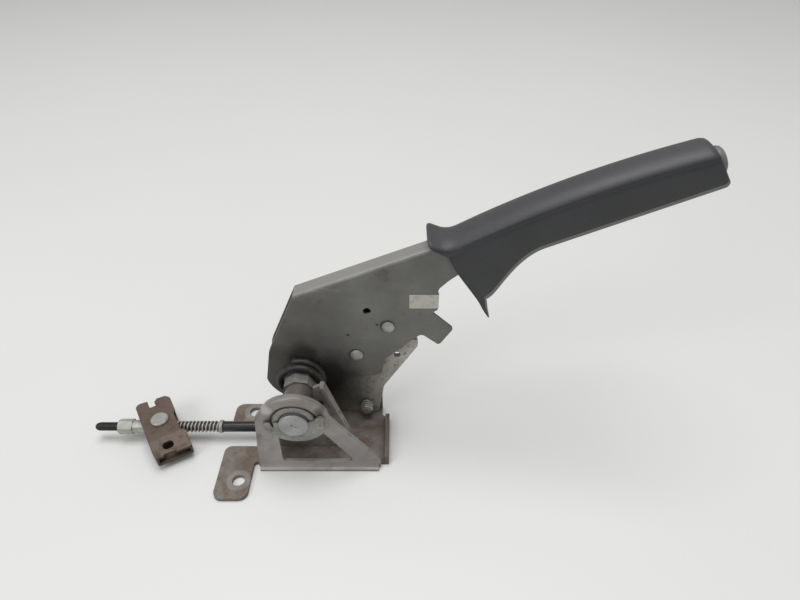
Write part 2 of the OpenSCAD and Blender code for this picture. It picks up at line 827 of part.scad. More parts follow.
// Place of the hilt's face at height z, from its front face at 0 to its back face at 1
function hilt_face(z, back) =
    let (rise = (z - flare_low[1])/(crown_z - hilt_rise - flare_low[1]), s = 2*rise - 1)
    let (t = 0.5 + (hilt_t - 0.5)*ease((s - 0.45)/0.2))
    flare_low[0] + (grip_start - flare_low[0])*rise + hilt_shift(s) + back*t;

// Ring of the grip at u, shrunk to a share and shifted along the lever's back; lift raises its crown,
// and the ring stays a little behind the hilt
function grip_ring(u, shift, share, lift, behind) =
    let (a = grip_top(u) + [0, lift], b = grip_low(u), h = norm(a - b), up = (a - b)/h)
    let (w = grip_w/2, half = half_section(h, w*(1 - grip_narrow(u)), w, w + 0.4*lift, dome_h + lift, 1))
    [for (q = both_halves(half, h))
        let (at = b + up*(h/2 + (q[1] - h/2)*share))
        [max(at[0] + shift, hilt_face(at[1], 1) + behind), q[0]*share, at[1]]];

// Ring of the hilt's plate, at its front or back face
function hilt_ring(back) =
    let (a = [grip_start, crown_z - hilt_rise], b = grip_low(0), h = norm(a - b), up = (a - b)/h)
    let (w = grip_w/2)
    let (dome = a[1] - grip_top(0)[1] + dome_h)
    let (half = half_section(h, w*(1 - grip_narrow(0)), w, hilt_w/2, dome, 0.4))
    [for (q = both_halves(half, h))
        let (z = b[1] + up[1]*q[1])
        [hilt_face(z, back), q[0], z]];

module grip_shell() {
    mirrored_skin(concat(
        [hilt_ring(0), hilt_ring(1)],
        [grip_ring(0.0138, 0, 1, hilt_lift, 0.3), grip_ring(0.03, 0, 1, 0.7*hilt_lift, 1),
            grip_ring(0.06, 0, 1, 0.25*hilt_lift, 2)],
        [for (i = [3:grip_stations]) grip_ring(i/grip_stations, 0, 1, 0, 0)],
        [for (e = end_round) grip_ring(1, e[0], e[1], 0, 0)]));
}

// Pocket for the lever's stem, from the hilt to the button's bore
module stem_pocket() {
    reach = stem_end + gap;
    across(-lever_w/2 - gap, lever_w/2 + gap)
        polygon([[grip_start - 20, back_h + gap], [reach, back_h + gap], [reach, stem_bottom - 2*gap],
            [151, stem_bottom - 2*gap], [grip_start, 37.6], [grip_start - 20, 31]]);
}

module grip() {
    color([0.13, 0.13, 0.14])
        in_lever()
            difference() {
                grip_shell();
                stem_pocket();
                translate([stem_end - 0.5, 0, button_z])
                    rotate([0, 90, 0])
                        cylinder(d = button_d + 2*gap, h = 60);
            }
}

// Guide for the release rod, held between the cheeks under the lever's back
module rod_guide() {
    guide_x = stem_end - 30;
    half = channel_w/2 - seat;
    color([0.25, 0.25, 0.26])
        in_lever()
            translate([guide_x, 0, 0])
                rotate([90, 0, 90])
                    linear_extrude(12)
                        difference() {
                            translate([-half, stem_bottom + 2])
                                square([2*half, stem_h - cheek_t - 2 - seat - 1.5]);
                            translate([0, button_z])
                                circle(d = release_d + 2*gap);
                        }
}
release_d = 5;
guide_front = stem_end - 18;
button_back = stem_end + 8;
button_proud = button_travel + 3.2;

module button_spring() {
    r = release_d/2 + gap + button_wire/2 + 0.1;
    color([0.55, 0.55, 0.53])
        in_lever()
            translate([0, 0, button_z])
                wire(coil_x(guide_front + seat + button_wire/2, button_back - seat - button_wire/2, r, 7, 12),
                    button_wire/2, [1, 0, 0]);
}

// Push button: domed head on a hollow skirt, sliding in the end of the grip
module push_button() {
    proud = grip_end + button_proud;
    r = button_d/2;
    color([0.24, 0.23, 0.22])
        in_lever()
            translate([0, 0, button_z])
                difference() {
                    turned_x([[button_back, 0], [button_back, r - 1], [button_back + 1, r], [proud - 3.2, r],
                        [proud - 1.6, r - 0.7], [proud - 0.6, r - 2.2], [proud, r - 5], [proud + 0.3, 0]]);
                    rotate([0, 90, 0])
                        translate([0, 0, button_back - eps])
                            cylinder(d = release_d + 2*seat, h = 10 + eps);
                }
}

// Release rod: pushes the pawl's upper arm when the button is pressed
module release_rod() {
    pad = pawl_pos[0] + 4.5 + gap;
    color([0.45, 0.45, 0.44])
        in_lever()
            translate([0, 0, button_z])
                turned_x([[pad, 0], [pad + 0.15, 1.2], [pad + 0.6, release_d/2],
                    [pad + 1.4, release_d/2 + 0.8], [pad + 3, release_d/2 + 0.8], [pad + 4, release_d/2],
                    [button_back + 9, release_d/2], [button_back + 10 - seat, release_d/2 - 0.8],
                    [button_back + 10 - seat, 0]]);
}

// Pawl: bell crank with a long upper arm for the release rod and a toe over the teeth
module pawl() {
    out = [cos(toe_angle), sin(toe_angle)];
    along = [-out[1], out[0]];
    head_z = button_z - pawl_pos[1];
    color([0.50, 0.49, 0.47])
        in_lever()
            difference() {
                union() {
                    across(-sector_t/2, sector_t/2) {
                        translate(pawl_pos) {
                            circle(r = 8);
                            polygon([[-6, 0], [6, 0], [4.5, head_z], [-4.5, head_z]]);
                            translate([0, head_z])
                                circle(r = 4.5);
                        }
                        polygon([toe_r*out - toe_half*along, (toe_r + 3)*out - 3.6*along,
                            pawl_pos + [6.5, -4.5], pawl_pos + [-6.5, -4.5],
                            (toe_r + 3)*out + 3.6*along, toe_r*out + toe_half*along]);
                    }
                    translate([pawl_pos[0], 0, pawl_pos[1]])
                        across(gap - channel_w/2, channel_w/2 - gap)
                            circle(r = 6.2);
                }
                translate([pawl_pos[0], 0, pawl_pos[1]])
                    across(-lever_w, lever_w)
                        circle(d = pawl_pin_d + 2*fit);
            }
}

// Pull rod: fork on the pull arm, plain shank and threaded end
module pull_rod() {
    r = rod_d/2;
    outer = fork_gap + fork_t;
    color([0.14, 0.14, 0.14])
        at_rod()
            difference() {
                union() {
                    turned_x([[rod_tip, 0], [rod_tip, r - 1.6], [rod_tip + 1.2, r - 0.4], [rod_tip + 2.6, r],
                        [neck_back + 1, r], [neck_back + 1, 0]]);
                    translate([neck_back, -outer, -5])
                        cube([neck_front - neck_back, 2*outer, 10]);
                    for (y = [-outer, fork_gap])
                        across(y, y + fork_t) {
                            translate([neck_back, -5])
                                square([clevis_x - neck_back, 10]);
                            translate([clevis_x, 0])
                                circle(r = eye_r);
                        }
                }
                translate([clevis_x, 0, 0])
                    across(-outer - eps, outer + eps)
                        circle(d = clevis_pin_d + 2*seat);
            }
}

module clevis_pin() {
    outer = fork_gap + fork_t;
    r = clevis_pin_d/2;
    color([0.62, 0.63, 0.60])
        at_rod()
            translate([clevis_x, 0, 0])
                turned_y([[-outer - 0.8, 0], [-outer - 0.8, r - 0.6], [-outer - 0.2, r], [outer + seat, r],
                    [outer + seat, r + 1.5], [outer + 1.6, r + 1.2], [outer + 1.6, 0]]);
}

// Plastic sleeve over the plain part of the rod
module rod_sleeve() {
    color([0.10, 0.10, 0.10])
        at_rod()
            turned_x([[collar_front + seat, rod_d/2 + seat], [collar_front + seat, sleeve_d/2 - 0.3],
                [collar_front + 0.6, sleeve_d/2], [sleeve_front, sleeve_d/2],
                [sleeve_front, rod_d/2 + seat]]);
}

module spring_collar() {
    color([0.56, 0.56, 0.54])
        at_rod()
            turned_x([[collar_front - collar_t, rod_d/2 + seat], [collar_front - collar_t, collar_d/2 - 0.4],
                [collar_front - collar_t + 0.4, collar_d/2], [collar_front - 0.4, collar_d/2],
                [collar_front, collar_d/2 - 0.4], [collar_front, rod_d/2 + seat]]);
}

// Anti-rattle spring between the trunnion and the collar
module rattle_spring() {
    r = rod_d/2 + 0.15 + rattle_wire/2;
    half = rattle_wire/2;
    color([0.55, 0.55, 0.53])
        at_rod()
            wire(coil_x(trunnion_flat - eq_x + half + seat, collar_front - collar_t - half - seat, r, 11, 12),
                half, [1, 0, 0]);
}

// Trunnion pin: cross-drilled barrel inside the equalizer, with a head above and a foot below
module trunnion_pin() {
    inner = eq_h/2 - eq_t;
    barrel = inner - 0.15;
    color([0.66, 0.67, 0.62])
        at_rod()
            translate([-eq_x, 0, 0])
                difference() {
                    union() {
                        intersection() {
                            translate([0, 0, -barrel])
                                cylinder(d = trunnion_d, h = 2*barrel);
                            translate([-trunnion_flat, -trunnion_d, -eq_h])
                                cube([2*trunnion_flat, 2*trunnion_d, 2*eq_h]);
                        }
                        translate([0, 0, -eq_h/2 - foot_t])
                            cylinder(d = journal_d, h = eq_h + foot_t + pin_head_t/2);
                        translate([0, 0, -eq_h/2 - foot_t])
                            cylinder(d = journal_d + 2.4, h = foot_t - 0.1);
                        translate([0, 0, eq_h/2 + 0.1])
                            rotate_extrude()
                                polygon([[0, 0], [pin_head_d/2, 0], [pin_head_d/2, pin_head_t - 0.7],
                                    [pin_head_d/2 - 0.8, pin_head_t], [0, pin_head_t]]);
                    }
                    rotate([0, 90, 0])
                        cylinder(d = rod_d + 2*fit, h = 4*trunnion_d, center = true);
                }
}

// Equalizer: box of folded sheet, open at both ends, with a sloped near end and side openings for the rod
module equalizer_profile(inset, reach) {
    half = eq_h/2 - inset;
    near = eq_near + reach;
    low = half - eq_drop*(near - eq_fold)/(eq_near - eq_fold);
    polygon([[-near, -half], [eq_far + reach, -half], [eq_far + reach, half], [-eq_fold, half],
        [-near, low]]);
}

module equalizer_block(inset, reach) {
    translate([-eq_w, 0, 0])
        rotate([90, 0, 90])
            linear_extrude(2*eq_w)
                equalizer_profile(inset, reach);
}

module equalizer_plan() {
    polygon(outline([[eq_left + 1, 1 - eq_near, 1.5], [eq_right + eq_step, -eq_near, 1.5],
        [eq_right + eq_step, -eq_fold - 1, 2], [eq_right, 1.5 - eq_fold, 1.5], [eq_right, 3, 1.5],
        [eq_right + 1.8, 5, 2], [eq_right + 1.8, eq_far - 5, 3.5], [eq_right - 1, eq_far - 1.6, 3],
        [-2.5, eq_far - 0.8, 1], [eq_left + 2.5, eq_far, 3], [eq_left, eq_far - 2.5, 3],
        [eq_left, -eq_fold, 2]]));
}

module equalizer_hollow() {
    far = eq_far + eps;
    near = -eq_near - eps;
    polygon([[eq_left + eq_t + 1, near], [eq_right + eq_step - eq_t, near],
        [eq_right + eq_step - eq_t, -eq_fold - 1], [eq_right - eq_t, 1.5 - eq_fold], [eq_right - eq_t, far],
        [eq_left + eq_t, far], [eq_left + eq_t, -eq_fold]]);
}

module equalizer() {
    color([0.44, 0.37, 0.32])
        at_rod()
            translate([-eq_x, 0, 0])
                rotate(eq_yaw)
                    difference() {
                        intersection() {
                            equalizer_block(0, 0);
                            translate([0, 0, -eq_h])
                                linear_extrude(2*eq_h)
                                    equalizer_plan();
                        }
                        intersection() {
                            equalizer_block(eq_t, eps);
                            translate([0, 0, -eq_h])
                                linear_extrude(2*eq_h)
                                    equalizer_hollow();
                        }
                        translate([eq_left - eps, -12, eq_t - eq_h/2])
                            cube([eq_t + 2*eps, 29.5, eq_h - 2*eq_t]);
                        translate([eq_right - eq_t - eps, -15, eq_t - eq_h/2])
                            cube([eq_t + 2*eps + 3, 26, eq_h - 2*eq_t]);
                        translate([0, 0, -eq_h])
                            cylinder(d = journal_d + 2*fit, h = 2*eq_h);
                        translate([0, 0, -2])
                            linear_extrude(eq_h) {
                                polygon(outline([[-3.4, eq_far - 8, 1], [1.6, eq_far - 8.2, 1],
                                    [0.9, eq_far - 4, 1], [4.2, eq_far, 0], [4.2, eq_far + 4, 0],
                                    [-3.4, eq_far + 4, 0]]));
                                polygon(outline([[-4.4, -eq_near + 4.1, 2.3], [3, -eq_near + 4.1, 2.3],
                                    [3, -eq_near + 8.8, 2.3], [-4.4, -eq_near + 8.8, 2.3]]));
                                polygon(outline([[-5.9, -eq_near - 4, 0], [3.1, -eq_near - 4, 0],
                                    [3.1, -eq_near + 1.3, 1], [-5.9, -eq_near + 1.9, 1]]));
                            }
                    }
}

// Adjuster nut: hexagon with a round nose that bears on the trunnion
module adjuster_nut() {
    hex_l = nut_back - nut_hex_front;
    nose_front = -trunnion_flat - 0.1;
    color([0.72, 0.72, 0.68])
        at_rod()
            translate([-eq_x, 0, 0])
                difference() {
                    union() {
                        translate([-nut_back, 0, 0])
                            rotate([0, 90, 0])
                                intersection() {
                                    cylinder(d = nut_af/cos(30), h = hex_l, $fn = 6);
                                    rotate_extrude()
                                        polygon([[0, 0], [nut_af/2, 0], [nut_af/cos(30)/2 + 0.1, 1.2],
                                            [nut_af/cos(30)/2 + 0.1, hex_l], [0, hex_l]]);
                                }
                        turned_x([[-nut_hex_front - 0.5, 0], [-nut_hex_front - 0.5, nut_nose_d/2],
                            [nose_front, nut_nose_d/2], [nose_front, 0]]);
                    }
                    rotate([0, 90, 0])
                        cylinder(d = rod_d + 2*fit, h = 4*nut_back, center = true);
                }
}

base_plate();
support_bracket();
inner_bracket();
pivot_bush();
ratchet_sector();
sector_screws();
lever_arm();
pivot_shaft();
retaining_clip();
shaft_ring();
pull_arm();
torsion_spring();
pawl_pin();
stop_pin();
edge_tape();
grip();
rod_guide();
button_spring();
push_button();
release_rod();
pawl();
pull_rod();
clevis_pin();
rod_sleeve();
spring_collar();
rattle_spring();
trunnion_pin();
equalizer();
adjuster_nut();
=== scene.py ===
"""Parking brake lever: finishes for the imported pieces, with a moulded grip, springs and threads.

Lengths in the tables below are millimetres in the part's own frame: X forward to the grip, Y across, Z up.
"""
import math

import bmesh
import bpy
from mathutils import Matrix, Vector


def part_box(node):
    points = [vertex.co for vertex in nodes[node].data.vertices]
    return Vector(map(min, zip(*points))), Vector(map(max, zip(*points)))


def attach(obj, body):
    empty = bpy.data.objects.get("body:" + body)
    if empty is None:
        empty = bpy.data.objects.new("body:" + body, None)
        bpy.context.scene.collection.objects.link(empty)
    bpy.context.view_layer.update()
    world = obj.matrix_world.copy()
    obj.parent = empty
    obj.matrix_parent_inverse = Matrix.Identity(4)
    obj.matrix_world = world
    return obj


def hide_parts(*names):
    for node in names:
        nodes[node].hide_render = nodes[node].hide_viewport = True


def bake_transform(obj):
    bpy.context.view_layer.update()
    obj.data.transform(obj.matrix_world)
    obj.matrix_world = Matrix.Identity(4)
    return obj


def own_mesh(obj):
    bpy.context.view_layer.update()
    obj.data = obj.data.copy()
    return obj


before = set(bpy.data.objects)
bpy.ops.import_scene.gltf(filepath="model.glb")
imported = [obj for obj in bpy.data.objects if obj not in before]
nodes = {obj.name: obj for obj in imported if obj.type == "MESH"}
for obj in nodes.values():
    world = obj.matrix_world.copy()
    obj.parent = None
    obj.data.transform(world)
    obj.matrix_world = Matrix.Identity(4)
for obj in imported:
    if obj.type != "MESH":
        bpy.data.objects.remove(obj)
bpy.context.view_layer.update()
scene = bpy.context.scene
MM = 0.001

# Lever frame: heights and lengths are measured from the pivot, across and along the tilted lever
PIVOT = (42.0, 50.0)
LEVER_Y = 33.5
TILT = math.radians(22.1)
LEVER_ALONG = (math.cos(TILT), 0.0, math.sin(TILT))
LEVER_UP = (-math.sin(TILT), 0.0, math.cos(TILT))
BACK_H = 64.6
BUTTON_Z = BACK_H - 8.8
GRIP_START = 125.4
GRIP_L = 159.0
GRIP_END = GRIP_START + GRIP_L


def lever_point(along, across, above):
    """Point of the lever's own frame, in metres."""
    x = PIVOT[0] + along * math.cos(TILT) - above * math.sin(TILT)
    z = PIVOT[1] + along * math.sin(TILT) + above * math.cos(TILT)
    return Vector((x, LEVER_Y + across, z)) * MM


# Camera, floor and light, in metres

SENSOR_W = 36.0
PHOTO_W = 800.0
FOCAL_PIXELS = 590.0
CAMERA_AT = (0.112, -0.276, 0.354)
CAMERA_DOWN = 38.1
FLOOR_HALF = 4.0
FLOOR_DROP = 0.0002


def place_camera():
    data = bpy.data.cameras.new("camera")
    data.sensor_width = SENSOR_W
    data.lens = SENSOR_W * FOCAL_PIXELS / PHOTO_W
    data.clip_start = 0.01
    camera = bpy.data.objects.new("camera", data)
    camera.location = CAMERA_AT
    camera.rotation_euler = (math.radians(90.0 - CAMERA_DOWN), 0.0, 0.0)
    scene.collection.objects.link(camera)
    scene.camera = camera


def area_light(name, place, target, size, power):
    data = bpy.data.lights.new(name, "AREA")
    data.shape = "DISK"
    data.size = size
    data.energy = power
    lamp = bpy.data.objects.new(name, data)
    lamp.location = place
    lamp.rotation_euler = (Vector(target) - Vector(place)).to_track_quat("-Z", "Y").to_euler()
    scene.collection.objects.link(lamp)


def light_the_room():
    world = bpy.data.worlds.new("room")
    world.use_nodes = True
    back = world.node_tree.nodes["Background"]
    back.inputs["Color"].default_value = (0.97, 0.97, 0.96, 1.0)
    back.inputs["Strength"].default_value = 0.42
    scene.world = world
    area_light("ceiling_light", (0.05, 0.15, 2.4), (0.1, 0.05, 0.0), size=1.6, power=31.0)
    area_light("window_light", (-1.4, -1.4, 1.8), (0.1, 0.0, 0.08), size=1.3, power=15.0)


def lay_floor():
    mesh = bpy.data.meshes.new("floor")
    corners = [(x * FLOOR_HALF, y * FLOOR_HALF, 0.0) for x, y in ((-1, -1), (1, -1), (1, 1), (-1, 1))]
    mesh.from_pydata(corners, [], [(0, 1, 2, 3)])
    floor = bpy.data.objects.new("floor", mesh)
    floor.location.z = -FLOOR_DROP
    scene.collection.objects.link(floor)
    material, tree, shader = new_material("white_table")
    clouds = put(tree, "ShaderNodeTexNoise", {"Vector": on_object(tree), "Scale": 3.0})
    colour = mix_colour(tree, clouds.outputs["Fac"], rgba((0.76, 0.76, 0.75)), rgba((0.80, 0.80, 0.79)))
    tree.links.new(colour, shader.inputs["Base Color"])
    shader.inputs["Roughness"].default_value = 0.45
    mesh.materials.append(material)


# Shader groups

def put(tree, kind, values=None, **settings):
    """New node with its settings, its inputs set to values or linked to other nodes' sockets."""
    made = tree.nodes.new(kind)
    for key, value in settings.items():
        setattr(made, key, value)
    for key, value in (values or {}).items():
        if isinstance(value, bpy.types.NodeSocket):
            tree.links.new(value, made.inputs[key])
        else:
            made.inputs[key].default_value = value
    return made


def math_node(tree, operation, first, second=0.0):
    return put(tree, "ShaderNodeMath", {0: first, 1: second}, operation=operation).outputs[0]


# Places of the colour sockets of a mix node, which holds a set of sockets for each kind of data
MIX_FACTOR = 0
MIX_FIRST = 6
MIX_SECOND = 7
MIX_RESULT = 2


def mix_colour(tree, factor, first, second):
    made = put(tree, "ShaderNodeMix", data_type="RGBA",
               values={MIX_FACTOR: factor, MIX_FIRST: first, MIX_SECOND: second})
    return made.outputs[MIX_RESULT]


def rgba(colour):
    return (colour[0], colour[1], colour[2], 1.0)


def tint(tree, colour, mask, share, shade):
    """Lays a share of a shade over a colour where the mask is set."""
    return mix_colour(tree, math_node(tree, "MULTIPLY", mask, share), colour, rgba(shade))


def on_object(tree):
    """Coordinates that ride with the piece."""
    return put(tree, "ShaderNodeTexCoord").outputs["Object"]


def new_material(name):
    material = bpy.data.materials.new(name)
    material.use_nodes = True
    return material, material.node_tree, material.node_tree.nodes["Principled BSDF"]


def new_group(name, inputs, outputs):
    tree = bpy.data.node_groups.new(name, "ShaderNodeTree")
    for label, value in inputs:
        kind = "NodeSocketVector" if isinstance(value, tuple) else "NodeSocketFloat"
        socket = tree.interface.new_socket(label, in_out="INPUT", socket_type=kind)
        socket.default_value = value
    for label, kind in outputs:
        tree.interface.new_socket(label, in_out="OUTPUT", socket_type=kind)
    return tree, tree.nodes.new("NodeGroupInput"), tree.nodes.new("NodeGroupOutput")


def make_blotches():
    """Cloudy patches that cover a share of the surface."""
    tree, given, made = new_group(
        "blotches", [("Scale", 60.0), ("Cover", 0.5), ("Softness", 0.08)], [("Mask", "NodeSocketFloat")])
    noise = put(tree, "ShaderNodeTexNoise", {
        "Vector": on_object(tree), "Scale": given.outputs["Scale"], "Detail": 7.0, "Roughness": 0.62})
    middle = math_node(tree, "MULTIPLY_ADD", given.outputs["Cover"], -0.46)
    middle.node.inputs[2].default_value = 0.73
    low = math_node(tree, "SUBTRACT", middle, given.outputs["Softness"])
    high = math_node(tree, "ADD", middle, given.outputs["Softness"])
    ramp = put(tree, "ShaderNodeMapRange", {
        "Value": noise.outputs["Fac"], "From Min": low, "From Max": high}, interpolation_type="SMOOTHSTEP")
    tree.links.new(ramp.outputs["Result"], made.inputs["Mask"])
    return tree


def make_edge_wear():
    """Bright rubbed edges, and the normal of a slightly rounded edge."""
    tree, given, made = new_group(
        "edge_wear", [("Radius", 0.0006), ("Strength", 2.0)],
        [("Mask", "NodeSocketFloat"), ("Normal", "NodeSocketVector")])
    bevel = put(tree, "ShaderNodeBevel", {"Radius": given.outputs["Radius"]}, samples=6)
    surface = put(tree, "ShaderNodeNewGeometry")
    dot = put(tree, "ShaderNodeVectorMath", {
        0: bevel.outputs["Normal"], 1: surface.outputs["Normal"]}, operation="DOT_PRODUCT")
    turn = math_node(tree, "SUBTRACT", 1.0, dot.outputs["Value"])
    noise = put(tree, "ShaderNodeTexNoise", {"Vector": on_object(tree), "Scale": 420.0, "Detail": 3.0})
    rubbed = math_node(tree, "MULTIPLY", math_node(tree, "MULTIPLY", turn, given.outputs["Strength"]),
                       math_node(tree, "MULTIPLY", noise.outputs["Fac"], 2.0))
    capped = put(tree, "ShaderNodeClamp", {"Value": rubbed})
    tree.links.new(capped.outputs["Result"], made.inputs["Mask"])
    tree.links.new(bevel.outputs["Normal"], made.inputs["Normal"])
    return tree


def make_crevice_shade():
    """Painted shade that darkens where surfaces close in on each other, unevenly."""
    tree, given, made = new_group(
        "crevice_shade", [("Reach", 0.006), ("Strength", 1.2)], [("Mask", "NodeSocketFloat")])
    shade = put(tree, "ShaderNodeAmbientOcclusion", {"Distance": given.outputs["Reach"]}, samples=6)
    noise = put(tree, "ShaderNodeTexNoise", {"Vector": on_object(tree), "Scale": 180.0, "Detail": 4.0})
    dark = math_node(tree, "SUBTRACT", 1.0, shade.outputs["AO"])
    uneven = math_node(tree, "ADD", noise.outputs["Fac"], 0.35)
    grown = math_node(tree, "MULTIPLY", math_node(tree, "MULTIPLY", dark, given.outputs["Strength"]), uneven)
    capped = put(tree, "ShaderNodeClamp", {"Value": grown})
    tree.links.new(capped.outputs["Result"], made.inputs["Mask"])
    return tree


def make_scuffs():
    """Fine scratches drawn out along the lever's back, and a faint rolling-mill grain."""
    tree, given, made = new_group(
        "scuffs", [("Scale", 90.0), ("Cover", 0.3)],
        [("Mask", "NodeSocketFloat"), ("Height", "NodeSocketFloat")])
    turned = put(tree, "ShaderNodeMapping", {
        "Vector": on_object(tree), "Rotation": (0.0, TILT, 0.0), "Scale": (0.12, 1.0, 1.0)})
    streaks = put(tree, "ShaderNodeTexNoise", {
        "Vector": turned.outputs["Vector"], "Scale": given.outputs["Scale"], "Detail": 8.0, "Roughness": 0.7})
    middle = math_node(tree, "MULTIPLY_ADD", given.outputs["Cover"], -0.4)
    middle.node.inputs[2].default_value = 0.74
    high = math_node(tree, "ADD", middle, 0.06)
    ramp = put(tree, "ShaderNodeMapRange", {
        "Value": streaks.outputs["Fac"], "From Min": middle, "From Max": high})
    tree.links.new(ramp.outputs["Result"], made.inputs["Mask"])
    tree.links.new(streaks.outputs["Fac"], made.inputs["Height"])
    return tree


def make_pitting():
    """Small pits and grains of a corroded or cast skin."""
    tree, given, made = new_group(
        "pitting", [("Scale", 900.0)], [("Height", "NodeSocketFloat"), ("Mask", "NodeSocketFloat")])
    place = on_object(tree)
    grains = put(tree, "ShaderNodeTexNoise", {
        "Vector": place, "Scale": given.outputs["Scale"], "Detail": 4.0, "Roughness": 0.6})
    coarser = math_node(tree, "MULTIPLY", given.outputs["Scale"], 0.6)
    cells = put(tree, "ShaderNodeTexVoronoi", {"Vector": place, "Scale": coarser})
    height = math_node(tree, "ADD", grains.outputs["Fac"],
                       math_node(tree, "MULTIPLY", cells.outputs["Distance"], 0.5))
    specks = put(tree, "ShaderNodeMapRange", {
        "Value": grains.outputs["Fac"], "From Min": 0.60, "From Max": 0.70})
    tree.links.new(height, made.inputs["Height"])
    tree.links.new(specks.outputs["Result"], made.inputs["Mask"])
    return tree


def make_leather_grain():
    """Pebbled skin of the moulded grip: closed cells with soft valleys between them."""
    tree, given, made = new_group(
        "leather_grain", [("Scale", 900.0)], [("Height", "NodeSocketFloat"), ("Valley", "NodeSocketFloat")])
    place = on_object(tree)
    drift = put(tree, "ShaderNodeTexNoise", {"Vector": place, "Scale": 160.0, "Detail": 3.0})
    bent = put(tree, "ShaderNodeVectorMath", {0: drift.outputs["Color"], 1: (0.0012, 0.0012, 0.0012)},
               operation="MULTIPLY")
    moved = put(tree, "ShaderNodeVectorMath", {0: place, 1: bent.outputs["Vector"]}, operation="ADD")
    cells = put(tree, "ShaderNodeTexVoronoi", {
        "Vector": moved.outputs["Vector"], "Scale": given.outputs["Scale"]}, feature="DISTANCE_TO_EDGE")
    dome = put(tree, "ShaderNodeMapRange", interpolation_type="SMOOTHSTEP", values={
        "Value": cells.outputs["Distance"], "From Min": 0.0, "From Max": 0.25})
    tree.links.new(dome.outputs["Result"], made.inputs["Height"])
    tree.links.new(math_node(tree, "SUBTRACT", 1.0, dome.outputs["Result"]), made.inputs["Valley"])
    return tree


def make_turned_rings():
    """Tool marks of a facing cut, round the pivot axis."""
    tree, given, made = new_group("turned_rings", [("Pitch", 0.0006)], [("Height", "NodeSocketFloat")])
    shifted = put(tree, "ShaderNodeVectorMath", {
        0: on_object(tree), 1: (PIVOT[0] * MM, 0.0, PIVOT[1] * MM)}, operation="SUBTRACT")
    flat = put(tree, "ShaderNodeVectorMath", {0: shifted.outputs["Vector"], 1: (1.0, 0.0, 1.0)},
               operation="MULTIPLY")
    radius = put(tree, "ShaderNodeVectorMath", {0: flat.outputs["Vector"]}, operation="LENGTH")
    turns = math_node(tree, "DIVIDE", radius.outputs["Value"], given.outputs["Pitch"])
    wave = math_node(tree, "SINE", math_node(tree, "MULTIPLY", turns, 2.0 * math.pi))
    tree.links.new(wave, made.inputs["Height"])
    return tree


def make_stain_and_shade_patch():
    """Patch round a point that fades out between two distances, with a ragged edge."""
    tree, given, made = new_group(
        "stain_and_shade_patch", [("Centre", (0.0, 0.0, 0.0)), ("Stretch", (1.0, 1.0, 1.0)), ("Inner", 0.01), ("Outer", 0.03),
                  ("Ragged", 0.4)], [("Mask", "NodeSocketFloat")])
    place = on_object(tree)
    offset = put(tree, "ShaderNodeVectorMath", {0: place, 1: given.outputs["Centre"]}, operation="SUBTRACT")
    scaled = put(tree, "ShaderNodeVectorMath", {
        0: offset.outputs["Vector"], 1: given.outputs["Stretch"]}, operation="MULTIPLY")
    away = put(tree, "ShaderNodeVectorMath", {0: scaled.outputs["Vector"]}, operation="LENGTH")
    noise = put(tree, "ShaderNodeTexNoise", {"Vector": place, "Scale": 75.0, "Detail": 5.0})
    swing = math_node(tree, "MULTIPLY", math_node(tree, "SUBTRACT", noise.outputs["Fac"], 0.5),
                      given.outputs["Ragged"])
    swing = math_node(tree, "MULTIPLY", swing, given.outputs["Outer"])
    reach = math_node(tree, "ADD", away.outputs["Value"], swing)
    ramp = put(tree, "ShaderNodeMapRange", {
        "Value": reach, "From Min": given.outputs["Inner"], "From Max": given.outputs["Outer"], "To Min": 1.0,
        "To Max": 0.0}, interpolation_type="SMOOTHSTEP")
    tree.links.new(ramp.outputs["Result"], made.inputs["Mask"])
    return tree


def make_painted_light_faces():
    """Faces turned towards a direction, for painted light that lightens them as if lit from there."""
    tree, given, made = new_group(
        "painted_light_faces", [("Up", (0.0, 0.0, 1.0)), ("Low", 0.7), ("High", 0.93)], [("Mask", "NodeSocketFloat")])
    coords = put(tree, "ShaderNodeTexCoord")
    facing = put(tree, "ShaderNodeVectorMath", {
        0: coords.outputs["Normal"], 1: given.outputs["Up"]}, operation="DOT_PRODUCT")
    ramp = put(tree, "ShaderNodeMapRange", interpolation_type="SMOOTHSTEP", values={
        "Value": facing.outputs["Value"], "From Min": given.outputs["Low"],
        "From Max": given.outputs["High"]})
    tree.links.new(ramp.outputs["Result"], made.inputs["Mask"])
    return tree


GROUPS = {
    "blotches": make_blotches(), "edge_wear": make_edge_wear(), "crevice_shade": make_crevice_shade(),
    "scuffs": make_scuffs(), "pitting": make_pitting(), "leather_grain": make_leather_grain(),
    "turned_rings": make_turned_rings(), "stain_and_shade_patch": make_stain_and_shade_patch(), "painted_light_faces": make_painted_light_faces()}


def use(tree, name, **values):
    """Places a shared group in a material with its own values."""
    made = tree.nodes.new("ShaderNodeGroup")
    made.node_tree = GROUPS[name]
    for key, value in values.items():
        made.inputs[key].default_value = value
    return made


# Finishes

def graded(tree, shader, label, mask, low, high):
    """Sets an input of the shader between two values by a mask."""
    ramp = put(tree, "ShaderNodeMapRange", {"Value": mask, "To Min": low, "To Max": high})
    tree.links.new(ramp.outputs["Result"], shader.inputs[label])


def raised(tree, shader, height, distance, strength, normal=None):
    """Gives the shader a fine relief, on top of a rounded edge's normal if there is one."""
    bump = put(tree, "ShaderNodeBump", {"Height": height, "Distance": distance, "Strength": strength})
    if normal is not None:
        tree.links.new(normal, bump.inputs["Normal"])
    tree.links.new(bump.outputs["Normal"], shader.inputs["Normal"])


